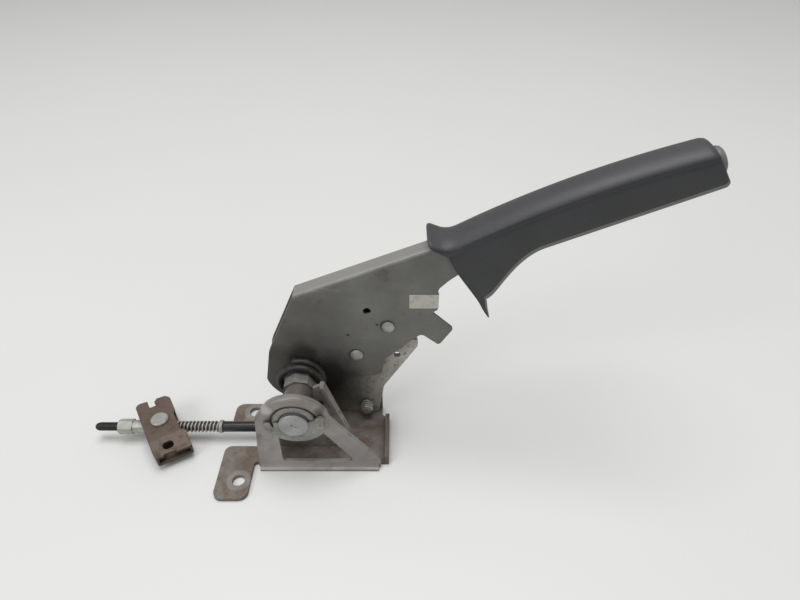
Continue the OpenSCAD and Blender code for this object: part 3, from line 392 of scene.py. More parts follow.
def metal_finish(name, base, tone, rust, shade_and_dirt_colour, worn, rust_cover=0.3, rust_soft=0.07, shade_and_dirt_amount=1.0,
                 scale=70.0, metallic=0.7, rough=0.42, wear=1.6, scratch=0.2, pits=0.00012, edge=0.0006,
                 spots=(), upper=None, rings=False):
    """Sheet or turned steel: two tones of metal, rust patches, painted shade in corners with dirt stains,
    rubbed edges, and painted light on faces turned towards a direction if one is given.
    """
    material, tree, shader = new_material(name)
    clouds = use(tree, "blotches", Scale=scale, Cover=0.5, Softness=0.16)
    patches = use(tree, "blotches", Scale=scale * 1.7, Cover=rust_cover, Softness=rust_soft)
    stains = use(tree, "blotches", Scale=scale * 0.45, Cover=0.45, Softness=0.2)
    # Painted shade: a mask that darkens where surfaces close in
    corners = use(tree, "crevice_shade", Reach=0.007, Strength=shade_and_dirt_amount)
    edges = use(tree, "edge_wear", Radius=edge, Strength=wear)
    scratches = use(tree, "scuffs", Scale=110.0, Cover=scratch)
    skin = use(tree, "pitting", Scale=1100.0)
    colour = mix_colour(tree, clouds.outputs["Mask"], rgba(base), rgba(tone))
    # Painted light: faces turned towards the given direction are lightened as if lit from there
    if upper:
        direction, painted_light_colour = upper
        faces = use(tree, "painted_light_faces", Up=direction)
        colour = tint(tree, colour, faces.outputs["Mask"], 0.85, painted_light_colour)
    colour = tint(tree, colour, scratches.outputs["Mask"], 0.35, worn)
    colour = tint(tree, colour, edges.outputs["Mask"], 0.7, worn)
    colour = tint(tree, colour, patches.outputs["Mask"], 0.85, rust)
    # Painted shade in corners, joined with real dirt stains
    shade_and_dirt = math_node(tree, "MAXIMUM", corners.outputs["Mask"],
                     math_node(tree, "MULTIPLY", stains.outputs["Mask"], 0.25 * min(shade_and_dirt_amount, 1.5)))
    # Stains, and patches of painted shade where a finish lists them
    for place, shade, share in spots:
        patch = use(tree, "stain_and_shade_patch", **place)
        colour = tint(tree, colour, patch.outputs["Mask"], share, shade)
    colour = tint(tree, colour, shade_and_dirt, 0.85, shade_and_dirt_colour)
    tree.links.new(colour, shader.inputs["Base Color"])
    dull = math_node(tree, "MAXIMUM", patches.outputs["Mask"], shade_and_dirt)
    graded(tree, shader, "Roughness", dull, rough, min(0.85, rough + 0.3))
    graded(tree, shader, "Metallic", dull, metallic, metallic * 0.25)
    height = math_node(tree, "ADD", skin.outputs["Height"],
                       math_node(tree, "MULTIPLY", patches.outputs["Mask"], 0.6))
    if rings:
        marks = use(tree, "turned_rings", Pitch=0.0009)
        height = math_node(tree, "ADD", height, math_node(tree, "MULTIPLY", marks.outputs["Height"], 0.25))
    raised(tree, shader, height, pits, 0.7, edges.outputs["Normal"])
    return material


def spot(at, inner, outer, shade, share=0.9, stretch=(1.0, 1.0, 1.0), ragged=0.5):
    """Patch at a point in millimetres, used for stains and for painted shade, given as the patch group's
    inputs, its colour and its share.
    """
    place = {"Centre": tuple(v * MM for v in at), "Stretch": stretch, "Inner": inner * MM,
             "Outer": outer * MM, "Ragged": ragged}
    return place, shade, share


def grip_finish():
    """Charcoal moulded skin with a pebbled grain, with a painted sheen on its crown and a painted reflection
    of the floor on its rolled lower edge.
    """
    material, tree, shader = new_material("grip_skin")
    grain = use(tree, "leather_grain", Scale=1150.0)
    clouds = use(tree, "blotches", Scale=28.0, Cover=0.5, Softness=0.2)
    dust = use(tree, "blotches", Scale=300.0, Cover=0.12, Softness=0.05)
    edges = use(tree, "edge_wear", Radius=0.0012, Strength=1.2)
    # Painted sheen on the crown: faces turned up along the lever
    crown = use(tree, "painted_light_faces", Up=LEVER_UP, Low=0.4, High=1.0)
    # Painted reflection of the floor on the rolled lower edge
    rim = put(tree, "ShaderNodeAttribute", attribute_name="rim")
    colour = mix_colour(tree, clouds.outputs["Mask"], rgba((0.025, 0.026, 0.029)),
                        rgba((0.036, 0.037, 0.041)))
    for mask, share, shade in (
            # painted sheen on the crown
            (crown.outputs["Mask"], 0.5, (0.095, 0.095, 0.101)),
            (grain.outputs["Valley"], 0.3, (0.018, 0.018, 0.021)),
            (edges.outputs["Mask"], 0.5, (0.09, 0.09, 0.094)),
            (dust.outputs["Mask"], 0.35, (0.10, 0.095, 0.085)),
            # painted reflection of the floor on the rolled lower edge
            (rim.outputs["Fac"], 0.8, (0.17, 0.168, 0.165))):
        colour = tint(tree, colour, mask, share, shade)
    tree.links.new(colour, shader.inputs["Base Color"])
    graded(tree, shader, "Roughness", clouds.outputs["Mask"], 0.42, 0.49)
    raised(tree, shader, grain.outputs["Height"], 0.00005, 0.6, edges.outputs["Normal"])
    return material


def plastic_finish(name, base, tone, rough, worn):
    """Moulded plastic with faint cloudiness, painted shade in corners and rubbed edges."""
    material, tree, shader = new_material(name)
    clouds = use(tree, "blotches", Scale=110.0, Cover=0.5, Softness=0.18)
    edges = use(tree, "edge_wear", Radius=0.0008, Strength=1.4)
    skin = use(tree, "pitting", Scale=1500.0)
    # Painted shade: a mask that darkens where surfaces close in
    corners = use(tree, "crevice_shade", Reach=0.004, Strength=0.7)
    colour = mix_colour(tree, clouds.outputs["Mask"], rgba(base), rgba(tone))
    colour = tint(tree, colour, edges.outputs["Mask"], 0.5, worn)
    # Painted shade laid into the corners
    colour = mix_colour(tree, corners.outputs["Mask"], colour, rgba((0.02, 0.018, 0.016)))
    tree.links.new(colour, shader.inputs["Base Color"])
    graded(tree, shader, "Roughness", clouds.outputs["Mask"], rough - 0.06, rough + 0.08)
    raised(tree, shader, skin.outputs["Height"], 0.00004, 0.6, edges.outputs["Normal"])
    return material


def tape_finish():
    """Paper tape: crossed fibres, creases and handling marks."""
    material, tree, shader = new_material("paper_tape")
    creases = put(tree, "ShaderNodeTexWave", bands_direction="X", values={
        "Vector": on_object(tree), "Scale": 700.0, "Distortion": 2.5, "Detail": 2.0})
    fibres = use(tree, "pitting", Scale=1700.0)
    marks = use(tree, "blotches", Scale=160.0, Cover=0.3, Softness=0.12)
    colour = mix_colour(tree, marks.outputs["Mask"], rgba((0.52, 0.505, 0.45)), rgba((0.37, 0.35, 0.305)))
    tree.links.new(colour, shader.inputs["Base Color"])
    shader.inputs["Roughness"].default_value = 0.75
    height = math_node(tree, "ADD", fibres.outputs["Height"], creases.outputs["Fac"])
    raised(tree, shader, height, 0.00008, 0.5)
    return material


# Colours that several finishes share, and how a patch is stretched along X, Y and Z
RUST = (0.14, 0.092, 0.062)
SOOT_AND_SHADE = (0.022, 0.019, 0.017)
GREASE = (0.032, 0.030, 0.028)
ROUND_HOLE = (1.0, 1.0, 0.3)
ON_FACE = (1.0, 0.2, 1.0)
SIDE_ON = (1.0, 0.0, 1.0)
ALONG_ONLY = (1.0, 0.0, 0.0)
ACROSS_ONLY = (0.0, 1.0, 0.0)


def make_finishes():
    coil_low, coil_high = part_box("rattle_spring")
    under_coil = ((coil_low.x + coil_high.x) / 2 / MM, 0.0, 0.0)
    coil_half = (coil_high.x - coil_low.x) / 2 / MM
    rivets = [sum(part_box(name), Vector()) / 2 / MM for name in ("pawl_pin", "stop_pin")]
    return {
        "rusty_steel": metal_finish(
            "rusty_steel", (0.205, 0.182, 0.164), (0.27, 0.25, 0.232), RUST, (0.04, 0.034, 0.029),
            (0.42, 0.40, 0.375), rust_cover=0.47, rust_soft=0.15, shade_and_dirt_amount=0.7,
            metallic=0.35, rough=0.5, wear=1.2, pits=0.00018, scale=60.0,
            spots=[spot((3, -17, 3), 4, 12, (0.15, 0.105, 0.078), 0.6, ragged=0.9),
                   spot((2, 42, 3), 3, 11, (0.17, 0.125, 0.098), 0.6, ragged=0.9),
                   spot((105, 4, 8), 3, 9, (0.115, 0.09, 0.076), 0.6, (1.0, 0.2, 0.5), 0.5)]
            + [spot((0, side * 31, 3), 7.4, 9.0, (0.33, 0.32, 0.31), 0.5, ROUND_HOLE, 0.1)
               for side in (-1, 1)]),
        "cast_brown": metal_finish(
            "cast_brown", (0.042, 0.029, 0.022), (0.064, 0.047, 0.036), (0.092, 0.056, 0.037), SOOT_AND_SHADE,
            (0.25, 0.22, 0.185), rust_cover=0.34, rust_soft=0.14, metallic=0.3, rough=0.5, wear=1.5,
            pits=0.0002, scale=80.0,
            # Painted light: the equalizer's upward faces are lightened
            upper=((0.0, 0.0, 1.0), (0.165, 0.119, 0.094))),
        "zinc_sheet": metal_finish(
            "zinc_sheet", (0.345, 0.326, 0.312), (0.285, 0.268, 0.256), (0.17, 0.14, 0.118),
            (0.055, 0.048, 0.042), (0.50, 0.48, 0.46), rust_cover=0.17, rust_soft=0.12, shade_and_dirt_amount=1.1,
            metallic=0.45, rough=0.45, scale=75.0, pits=0.00008,
            spots=[spot((30, -17, 8), 8, 27, (0.45, 0.432, 0.415), 0.75, ON_FACE, 0.4),
                   spot((72, -17, 24), 6, 18, (0.235, 0.227, 0.22), 0.5, ON_FACE, 0.5),
                   spot((44, -17, 70), 4, 15, (0.235, 0.212, 0.195), 0.55, ON_FACE, 0.5),
                   spot((25, -17, 62), 1.5, 6, (0.62, 0.60, 0.58), 0.8, ON_FACE, 0.5),
                   spot((59, -17, 61), 1.5, 5, (0.06, 0.055, 0.05), 0.7, ON_FACE, 0.6)]),
        "inner_sheet": metal_finish(
            "inner_sheet", (0.37, 0.355, 0.34), (0.26, 0.246, 0.232), (0.15, 0.115, 0.09),
            (0.045, 0.039, 0.034), (0.50, 0.48, 0.45), rust_cover=0.3, rust_soft=0.12, shade_and_dirt_amount=1.2,
            metallic=0.45, rough=0.45, scale=80.0),
        "lever_steel": metal_finish(
            "lever_steel", (0.155, 0.154, 0.146), (0.19, 0.189, 0.18), (0.12, 0.10, 0.082),
            (0.020, 0.019, 0.018), (0.32, 0.32, 0.31), rust_cover=0.12, shade_and_dirt_amount=1.1, metallic=0.55,
            rough=0.44, wear=1.0, scratch=0.3, pits=0.00006, scale=38.0,
            # Painted light: faces turned up along the lever are lightened
            upper=(LEVER_UP, (0.41, 0.403, 0.385)),
            spots=[spot((60, 26, 47), 11, 30, GREASE, 0.93, ragged=0.5),
                   spot((43, 26, 68.5), 5, 15, (0.052, 0.042, 0.034), 0.75, ragged=0.9),
                   # Painted shade: brown darkening towards the lever's left end, where its rounded back turns
                   # from the light
                   spot((19, 26, 70), 1, 16, (0.078, 0.067, 0.055), 0.6, ragged=0.6),
                   spot((96.5, 26, 95.9), 0.5, 1.4, SOOT_AND_SHADE, 0.8, ON_FACE, 0.2),
                   spot((76.5, 26, 86.9), 0.5, 1.6, SOOT_AND_SHADE, 0.8, ON_FACE, 0.2)]
            + [spot((at.x - 0.5, at.y, at.z + 0.7), 4.3, 6.2, SOOT_AND_SHADE, 0.75, SIDE_ON, 0.35) for at in rivets]),
        "sector_steel": metal_finish(
            "sector_steel", (0.54, 0.52, 0.48), (0.44, 0.42, 0.38), (0.20, 0.16, 0.125), SOOT_AND_SHADE,
            (0.60, 0.585, 0.555), rust_cover=0.26, metallic=0.4, rough=0.5, scale=170.0, pits=0.0002,
            # Painted shade: the sector is darkened all over but its nose, where the lever's channel shades it
            spots=[spot((60, 30, 33), 6, 50, (0.030, 0.028, 0.025), 0.93, ragged=0.3)]),
        "bright_zinc": metal_finish(
            "bright_zinc", (0.50, 0.51, 0.47), (0.40, 0.41, 0.375), (0.26, 0.23, 0.18), (0.07, 0.065, 0.055),
            (0.68, 0.68, 0.65), rust_cover=0.14, metallic=0.6, rough=0.36, scale=190.0, edge=0.0004),
        "dull_zinc": metal_finish(
            "dull_zinc", (0.325, 0.326, 0.305), (0.225, 0.225, 0.21), (0.15, 0.125, 0.095),
            (0.035, 0.033, 0.028), (0.50, 0.51, 0.47), rust_cover=0.22, shade_and_dirt_amount=1.4, metallic=0.5,
            rough=0.4, scale=150.0),
        "shaft_steel": metal_finish(
            "shaft_steel", (0.42, 0.425, 0.42), (0.335, 0.335, 0.33), (0.20, 0.175, 0.15),
            (0.05, 0.046, 0.042), (0.60, 0.60, 0.59), rust_cover=0.14, metallic=0.6, rough=0.4, scale=150.0,
            rings=True, edge=0.0004,
            spots=[spot((0, 0, 0), 19.7, 20.7, (0.15, 0.132, 0.118), 0.85, ACROSS_ONLY, 0.02),
                   spot((40.8, -22, 51.2), 0.4, 1.1, SOOT_AND_SHADE, 0.8, ON_FACE, 0.2),
                   spot((43.6, -22, 49.4), 0.3, 0.9, SOOT_AND_SHADE, 0.7, ON_FACE, 0.2)]),
        "rivet_steel": metal_finish(
            "rivet_steel", (0.43, 0.43, 0.415), (0.33, 0.33, 0.32), (0.22, 0.20, 0.17), (0.05, 0.046, 0.042),
            (0.60, 0.60, 0.58), rust_cover=0.15, metallic=0.55, rough=0.42, scale=240.0, pits=0.0002),
        "spring_steel": metal_finish(
            "spring_steel", (0.033, 0.032, 0.032), (0.052, 0.050, 0.049), (0.075, 0.058, 0.046),
            (0.014, 0.013, 0.012), (0.13, 0.13, 0.135), rust_cover=0.3, metallic=0.5, rough=0.4, scale=120.0,
            edge=0.0003),
        "zinc_wire": metal_finish(
            "zinc_wire", (0.55, 0.525, 0.505), (0.44, 0.42, 0.40), (0.24, 0.195, 0.16), (0.07, 0.062, 0.055),
            (0.62, 0.61, 0.59), rust_cover=0.2, metallic=0.6, rough=0.38, scale=260.0, edge=0.0002),
        "black_steel": metal_finish(
            "black_steel", (0.020, 0.020, 0.020), (0.032, 0.031, 0.030), (0.06, 0.048, 0.038),
            (0.010, 0.010, 0.009), (0.14, 0.14, 0.14), rust_cover=0.14, metallic=0.5, rough=0.36,
            scale=170.0, edge=0.0003,
            spots=[spot(under_coil, coil_half, coil_half + 1.0, (0.085, 0.074, 0.066), 0.8, ALONG_ONLY,
                        0.05)]),
        "sintered_bush": metal_finish(
            "sintered_bush", (0.36, 0.343, 0.32), (0.28, 0.265, 0.247), (0.17, 0.14, 0.115),
            (0.05, 0.042, 0.036), (0.50, 0.475, 0.445), rust_cover=0.22, metallic=0.3, rough=0.5, scale=200.0,
            pits=0.0002),
        "grip_vinyl": grip_finish(),
        "button_plastic": plastic_finish("button_plastic", (0.145, 0.138, 0.131), (0.185, 0.176, 0.166), 0.42,
                                         (0.24, 0.23, 0.22)),
        "guide_plastic": plastic_finish("guide_plastic", (0.035, 0.035, 0.037), (0.05, 0.05, 0.052), 0.5,
                                        (0.1, 0.1, 0.1)),
        "sleeve_plastic": plastic_finish("sleeve_plastic", (0.010, 0.010, 0.010), (0.018, 0.018, 0.018), 0.3,
                                         (0.06, 0.06, 0.06)),
        "paper_tape": tape_finish()}


NODE_FINISH = {
    "base_plate": "rusty_steel", "support_bracket": "zinc_sheet", "inner_bracket": "inner_sheet",
    "pivot_bush": "sintered_bush", "ratchet_sector": "sector_steel", "sector_screws": "inner_sheet",
    "lever_arm": "lever_steel", "pivot_shaft": "shaft_steel", "retaining_clip": "dull_zinc",
    "shaft_ring": "black_steel", "pull_arm": "dull_zinc", "torsion_spring": "spring_steel",
    "pawl_pin": "rivet_steel", "stop_pin": "rivet_steel", "edge_tape": "paper_tape", "grip": "grip_vinyl",
    "rod_guide": "guide_plastic", "button_spring": "zinc_wire", "push_button": "button_plastic",
    "release_rod": "zinc_wire", "pawl": "sector_steel", "pull_rod": "black_steel",
    "clevis_pin": "bright_zinc", "rod_sleeve": "sleeve_plastic", "spring_collar": "rivet_steel",
    "rattle_spring": "zinc_wire", "trunnion_pin": "bright_zinc", "equalizer": "cast_brown",
    "adjuster_nut": "bright_zinc"}


def finish_nodes(finishes):
    for name, kind in NODE_FINISH.items():
        mesh = nodes[name].data
        mesh.materials.clear()
        mesh.materials.append(finishes[kind])


# Pieces

def mesh_object(name, mesh, body, finish):
    piece = bpy.data.objects.new(name, mesh)
    scene.collection.objects.link(piece)
    if not mesh.materials:
        mesh.materials.append(finish)
    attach(piece, body)
    return piece


# Wire coils and screw threads, wound by one tree

def make_coil_tree():
    """Helix along a line, swept with a round or cornered section."""
    tree = bpy.data.node_groups.new("wound_coil", "GeometryNodeTree")
    sizes = [("Mean Radius", "NodeSocketFloat", 0.004), ("Section Radius", "NodeSocketFloat", 0.0006),
             ("Length", "NodeSocketFloat", 0.02), ("Turns", "NodeSocketFloat", 6.0),
             ("Sides", "NodeSocketInt", 12), ("Start", "NodeSocketVector", (0, 0, 0)),
             ("Turn", "NodeSocketVector", (0, 0, 0)), ("Finish", "NodeSocketMaterial", None)]
    for label, kind, value in sizes:
        socket = tree.interface.new_socket(label, in_out="INPUT", socket_type=kind)
        if value is not None:
            socket.default_value = value
    tree.interface.new_socket("Geometry", in_out="OUTPUT", socket_type="NodeSocketGeometry")
    given = tree.nodes.new("NodeGroupInput")
    made = tree.nodes.new("NodeGroupOutput")
    helix = put(tree, "GeometryNodeCurveSpiral", {
        "Resolution": 36, "Rotations": given.outputs["Turns"], "Start Radius": given.outputs["Mean Radius"],
        "End Radius": given.outputs["Mean Radius"], "Height": given.outputs["Length"]})
    section = put(tree, "GeometryNodeCurvePrimitiveCircle", {
        "Resolution": given.outputs["Sides"], "Radius": given.outputs["Section Radius"]})
    sweep = put(tree, "GeometryNodeCurveToMesh", {
        "Curve": helix.outputs["Curve"], "Profile Curve": section.outputs["Curve"], "Fill Caps": True})
    placed = put(tree, "GeometryNodeTransform", {
        "Geometry": sweep.outputs["Mesh"], "Translation": given.outputs["Start"],
        "Rotation": given.outputs["Turn"]})
    smooth = put(tree, "GeometryNodeSetShadeSmooth", {"Geometry": placed.outputs["Geometry"]})
    real = put(tree, "GeometryNodeRealizeInstances", {"Geometry": smooth.outputs["Geometry"]})
    dressed = put(tree, "GeometryNodeSetMaterial", {
        "Geometry": real.outputs["Geometry"], "Material": given.outputs["Finish"]})
    tree.links.new(dressed.outputs["Geometry"], made.inputs["Geometry"])
    return tree


def evaluated_mesh(tree, name, values):
    """Runs a tree on an empty mesh and returns the result as a plain mesh."""
    holder = bpy.data.objects.new(name + "_holder", bpy.data.meshes.new(name + "_holder"))
    scene.collection.objects.link(holder)
    modifier = holder.modifiers.new("tree", "NODES")
    modifier.node_group = tree
    for item in tree.interface.items_tree:
        if item.in_out == "INPUT" and item.name in values:
            modifier[item.identifier] = values[item.name]
    graph = bpy.context.evaluated_depsgraph_get()
    mesh = bpy.data.meshes.new_from_object(holder.evaluated_get(graph), depsgraph=graph)
    holder.modifiers.clear()
    bpy.data.objects.remove(holder)
    mesh.name = name
    return mesh


def wind(tree, name, finish, mean, section, length, turns, start, turn, sides=12):
    return evaluated_mesh(tree, name, {
        "Mean Radius": mean * MM, "Section Radius": section * MM, "Length": length * MM, "Turns": turns,
        "Sides": sides, "Start": Vector(start), "Turn": Vector(turn), "Finish": finish})


def join_meshes(name, meshes):
    whole = bmesh.new()
    for mesh in meshes:
        whole.from_mesh(mesh)
    joined = bpy.data.meshes.new(name)
    whole.to_mesh(joined)
    whole.free()
    for material in meshes[0].materials:
        joined.materials.append(material)
    return joined


# Axes of the coils, places of the coils and threads, and gaps left at the coils' ends
ROD_Y = 9.0
ROD_Z = 12.0
ALONG_X = (0.0, math.pi / 2, 0.0)
ALONG_LEVER = (0.0, math.pi / 2 - TILT, 0.0)
ALONG_Y = (-math.pi / 2, 0.0, 0.0)
RATTLE_GAP = 0.55
BUTTON_COIL_L = 26.0
BUTTON_GAP = 0.65
STEM_END = GRIP_END - 26.0
GUIDE_END = STEM_END - 18.0
ROD_TIP_L = 3.0
SCREWS_X = (PIVOT[0] + 44.8, PIVOT[0] + 14.0)
SCREW_TIP_Y = 23.2
SCREW_Z = 13.5


def make_coils(finishes):
    tree = make_coil_tree()
    low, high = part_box("rattle_spring")
    full = (high.x - low.x) / MM
    start = Vector((low.x + RATTLE_GAP * MM, ROD_Y * MM, ROD_Z * MM))
    mesh = wind(tree, "rattle_coil", finishes["zinc_wire"], mean=3.64, section=0.6,
                length=full - 2 * RATTLE_GAP, turns=13.5, start=start, turn=ALONG_X)
    coil = mesh_object("rattle_coil", mesh, "rod", finishes["zinc_wire"])
    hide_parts("rattle_spring")
    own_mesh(coil)

    start = lever_point(GUIDE_END + BUTTON_GAP, 0.0, BUTTON_Z)
    mesh = wind(tree, "button_coil", finishes["zinc_wire"], mean=3.5, section=0.58,
                length=BUTTON_COIL_L - 2 * BUTTON_GAP, turns=7.0, start=start, turn=ALONG_LEVER)
    coil = mesh_object("button_coil", mesh, "lever", finishes["zinc_wire"])
    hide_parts("button_spring")
    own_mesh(coil)

    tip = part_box("pull_rod")[0].x / MM
    start = Vector((tip + ROD_TIP_L, ROD_Y, ROD_Z)) * MM
    mesh = wind(tree, "rod_thread", finishes["black_steel"], mean=2.98, section=0.20, length=52.0,
                turns=52.0, start=start, turn=ALONG_X, sides=4)
    mesh_object("rod_thread", mesh, "rod", finishes["black_steel"])

    threads = []
    for x in SCREWS_X:
        start = Vector((x, SCREW_TIP_Y, SCREW_Z)) * MM
        threads.append(wind(tree, "screw_thread", finishes["bright_zinc"], mean=4.05, section=0.72,
                            length=7.2, turns=3.8, start=start, turn=ALONG_Y, sides=4))
    mesh = join_meshes("screw_threads", threads)
    mesh_object("screw_threads", mesh, "base", finishes["bright_zinc"])


def swept_wire(name, points, radius, finish, sides=20):
    """Round wire along a smooth line of points, with flat cut ends."""
    curve = bpy.data.curves.new(name, "CURVE")
    curve.dimensions = "3D"
    curve.bevel_depth = radius
    curve.bevel_resolution = sides // 4
    curve.use_fill_caps = True
    spline = curve.splines.new("POLY")
    spline.points.add(len(points) - 1)
    for item, place in zip(spline.points, points):
        item.co = (place.x, place.y, place.z, 1.0)
    holder = bpy.data.objects.new(name + "_holder", curve)
    scene.collection.objects.link(holder)
    graph = bpy.context.evaluated_depsgraph_get()
    mesh = bpy.data.meshes.new_from_object(holder.evaluated_get(graph), depsgraph=graph)
    bpy.data.objects.remove(holder)
    bpy.data.curves.remove(curve)
    for face in mesh.polygons:
        face.use_smooth = len(face.vertices) == 4
    mesh.materials.clear()
    mesh.materials.append(finish)
    mesh.name = name
    return mesh


def eased_path(points, rounds):
    """Rounds the corners of a path by averaging its points, keeping both ends."""
    for _ in range(rounds):
        inner = [(points[i - 1] + points[i] * 2 + points[i + 1]) / 4 for i in range(1, len(points) - 1)]
        points = [points[0]] + inner + [points[-1]]
    return points


def make_torsion_spring(finishes):
    """Lever spring: leg in the inner bracket, coil round the hub, hook in the near cheek."""
    mean, wire = 15.0, 2.48
    start, turn = -5.0, 473.0
    near, far = 14.8, 23.2
    leg_tip, hook = -3.0, 5.2
    leg_steps, coil_steps, hook_steps = 24, 220, 8

    def round_hub(degrees, y):
        angle = math.radians(degrees)
        return Vector((mean * math.cos(angle), y, mean * math.sin(angle)))

    path = [round_hub(start, leg_tip + (near - leg_tip) * k / leg_steps) for k in range(leg_steps)]
    path += [round_hub(start + turn * k / coil_steps, near + (far - near) * k / coil_steps)
             for k in range(coil_steps + 1)]
    path += [round_hub(start + turn, far + hook * k / hook_steps) for k in range(1, hook_steps + 1)]
    path = [Vector((PIVOT[0] + p.x, p.y, PIVOT[1] + p.z)) * MM for p in eased_path(path, rounds=8)]
    mesh = swept_wire("lever_spring", path, wire * MM, finishes["spring_steel"])
    spring = bpy.data.objects.new("lever_spring", mesh)
    scene.collection.objects.link(spring)
    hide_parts("torsion_spring")
    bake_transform(spring)


# Moulded grip, lofted from rings; its 2-D points are a place along the lever and a height above the pivot

GRIP_W = 27.0
HILT_W = 30.3
HILT_T = 2.3
HILT_LIFT = 2.2
HILT_SQUARE = 0.4
CROWN_Z = BACK_H + 8.6
CROWN_X = GRIP_START + 0.61 * GRIP_L
CROWN_CURVE = 0.0008
BELLY_Z = CROWN_Z - 31.1
BELLY_RISE = 1.6
BELLY_END = GRIP_END + 6.0
HILT_TOP = CROWN_Z - 0.2
FLARE_LOW = Vector((GRIP_START + 14.0, CROWN_Z - 73.0))
FLARE_END = GRIP_START + 62.6
FLARE_SHARE = 0.368
FLARE_NARROW = 0.24
TAB_TOP = FLARE_LOW + Vector((3.3, 16.0))
TAB_SHARE = 0.03
TAB_T = 0.5
DOME_H = 7.0
FOOT_R = 2.6
FOOT_NARROW = 0.06
BORE_R = 8.85
BORE_MOUTH = GRIP_END + 6.1
BORE_FLOOR = GRIP_END - 26.4
BORE_LEAN = 0.22

# Corners of the curve that sweeps from the tab up to the belly
FLARE_CORNERS = (TAB_TOP, TAB_TOP + Vector((7.3, 0.8)), Vector((FLARE_END - 21.0, BELLY_Z)),
                 Vector((FLARE_END, BELLY_Z)))
# Groove over the rolled foot and crease under the crown, as steps out and up
FOOT_GROOVE = ((0.02, 0.8), (-0.34, 1.3), (-0.05, 2.0))
CREASE = ((-0.12, -0.9), (-0.42, -0.3), (-0.2, 0.35))
# Curve of the hilt's front from its prong down: shift, height where it starts, and fall over which it comes
PRONG_SHIFT = -3.0
HILT_STEPS = ((5.9, 0.95, 0.35), (-1.5, 0.6, 0.4), (-1.4, -0.45, 0.4))
# The hilt's front is hollowed from a clearance above the tab
HOLLOW_CLEAR = 4.0
HOLLOW_FADE = 12.0
# Behind the upper part of the hilt the rings are set further apart and eased into the plate
NECK_DOWN = 32.0
NECK_FADE = 12.0
NECK_SPREAD = 1.6
NECK_EASE = 6.0
# Rings of the hilt's plate: place from front to back, share of full size, hollow
PLATE_RINGS = ((0.0, 0.82, 7.0), (0.0, 0.82, 0.0), (0.0, 0.975, 0.0), (0.07, 0.992, 0.0), (0.3, 1.0, 0.0),
               (0.7, 1.0, 0.0), (0.93, 0.992, 0.0))
# Rings behind the plate: share of the length, share of the lift, distance behind the plate, squareness
NECK_RINGS = ((0.0138, 1.0, 0.3, 0.5), (0.021, 0.9, 0.6, 0.62), (0.03, 0.7, 1.0, 0.74),
              (0.044, 0.45, 1.5, 0.86), (0.06, 0.25, 2.0, 0.94), (0.08, 0.08, 2.5, 1.0))
GRIP_STATIONS = 72
FIRST_STATION = 7
BODY_BEHIND = 3.0
# Rings of the rounded end: shift past the end and share of full size
END_RINGS = ((0.3, 0.9955), (0.8, 0.985), (1.5, 0.962), (2.2, 0.94), (2.8, 0.905), (3.15, 0.865))


def ease(t):
    v = min(1.0, max(0.0, t))
    return v * v * (3 - 2 * v)


def grip_top(u):
    x = GRIP_START + GRIP_L * u
    return Vector((x, CROWN_Z - CROWN_CURVE * (x - CROWN_X) ** 2))


def grip_low(u):
    """Lower edge: a narrow tab at the flare's tip, a sweep up to the belly, then a straight line."""
    if u < TAB_SHARE:
        return FLARE_LOW + (TAB_TOP - FLARE_LOW) * (u / TAB_SHARE)
    if u < FLARE_SHARE:
        t = (u - TAB_SHARE) / (FLARE_SHARE - TAB_SHARE)
        shares = ((1 - t) ** 3, 3 * t * (1 - t) ** 2, 3 * t * t * (1 - t), t ** 3)
        return sum((c * s for c, s in zip(FLARE_CORNERS, shares)), Vector((0.0, 0.0)))
    v = (u - FLARE_SHARE) / (1 - FLARE_SHARE)
    return Vector((FLARE_END + (BELLY_END - FLARE_END) * v, BELLY_Z + BELLY_RISE * v))


def low_width(u):
    narrow = FOOT_NARROW + (FLARE_NARROW * (1 - u / FLARE_SHARE) ** 2 if u < FLARE_SHARE else 0.0)
    return GRIP_W / 2 * (1 - narrow)


def half_section(height, low, side, crown, dome, square):
    """Half of a section from bottom to top, as half width and height: rolled foot, side, crease, crown."""
    crease = height - dome
    pairs = [(0.0, 0.0), ((low - FOOT_R) * 0.55, 0.0)]
    for k in range(7):
        a = math.radians(-90 + 90 * k / 6)
        pairs.append((low - FOOT_R + FOOT_R * math.cos(a), FOOT_R + FOOT_R * math.sin(a)))
    pairs += [(low + out, FOOT_R + up) for out, up in FOOT_GROOVE]
    foot = FOOT_R + FOOT_GROOVE[-1][1]
    for k in range(1, 10):
        t = k / 10
        pairs.append((low + (side - low) * t, foot + (crease + CREASE[0][1] - foot) * t))
    pairs += [(side + out, crease + up) for out, up in CREASE]
    for k in range(2, 15):
        a = math.radians(90 * k / 14)
        wide = crown * math.cos(a) ** square if k < 14 else 0.0
        pairs.append((wide, crease + dome * math.sin(a) ** square))
    return pairs


def both_halves(half):
    return half + [(-w, q) for w, q in reversed(half[1:-1])]


def hilt_shift(s):
    """Distance of the hilt's front from the line between its ends, at height s from -1 to 1."""
    return PRONG_SHIFT + sum(shift * ease((level - s) / fall) for shift, level, fall in HILT_STEPS)


def hilt_face(above, back):
    """Place along the lever of the hilt's plate at a height, from its front at back 0 to its rear at 1."""
    rise = (above - FLARE_LOW.y) / (HILT_TOP - FLARE_LOW.y)
    s = 2 * rise - 1
    thick = TAB_T + (HILT_T - TAB_T) * ease((s - 0.45) / 0.2)
    return FLARE_LOW.x + (GRIP_START - FLARE_LOW.x) * rise + hilt_shift(s) + back * thick


def soft_max(first, second, reach):
    """Larger of two lengths, eased where they differ by less than the reach."""
    near = max(reach - abs(first - second), 0.0)
    return max(first, second) + (near * near / (4 * reach) if near else 0.0)


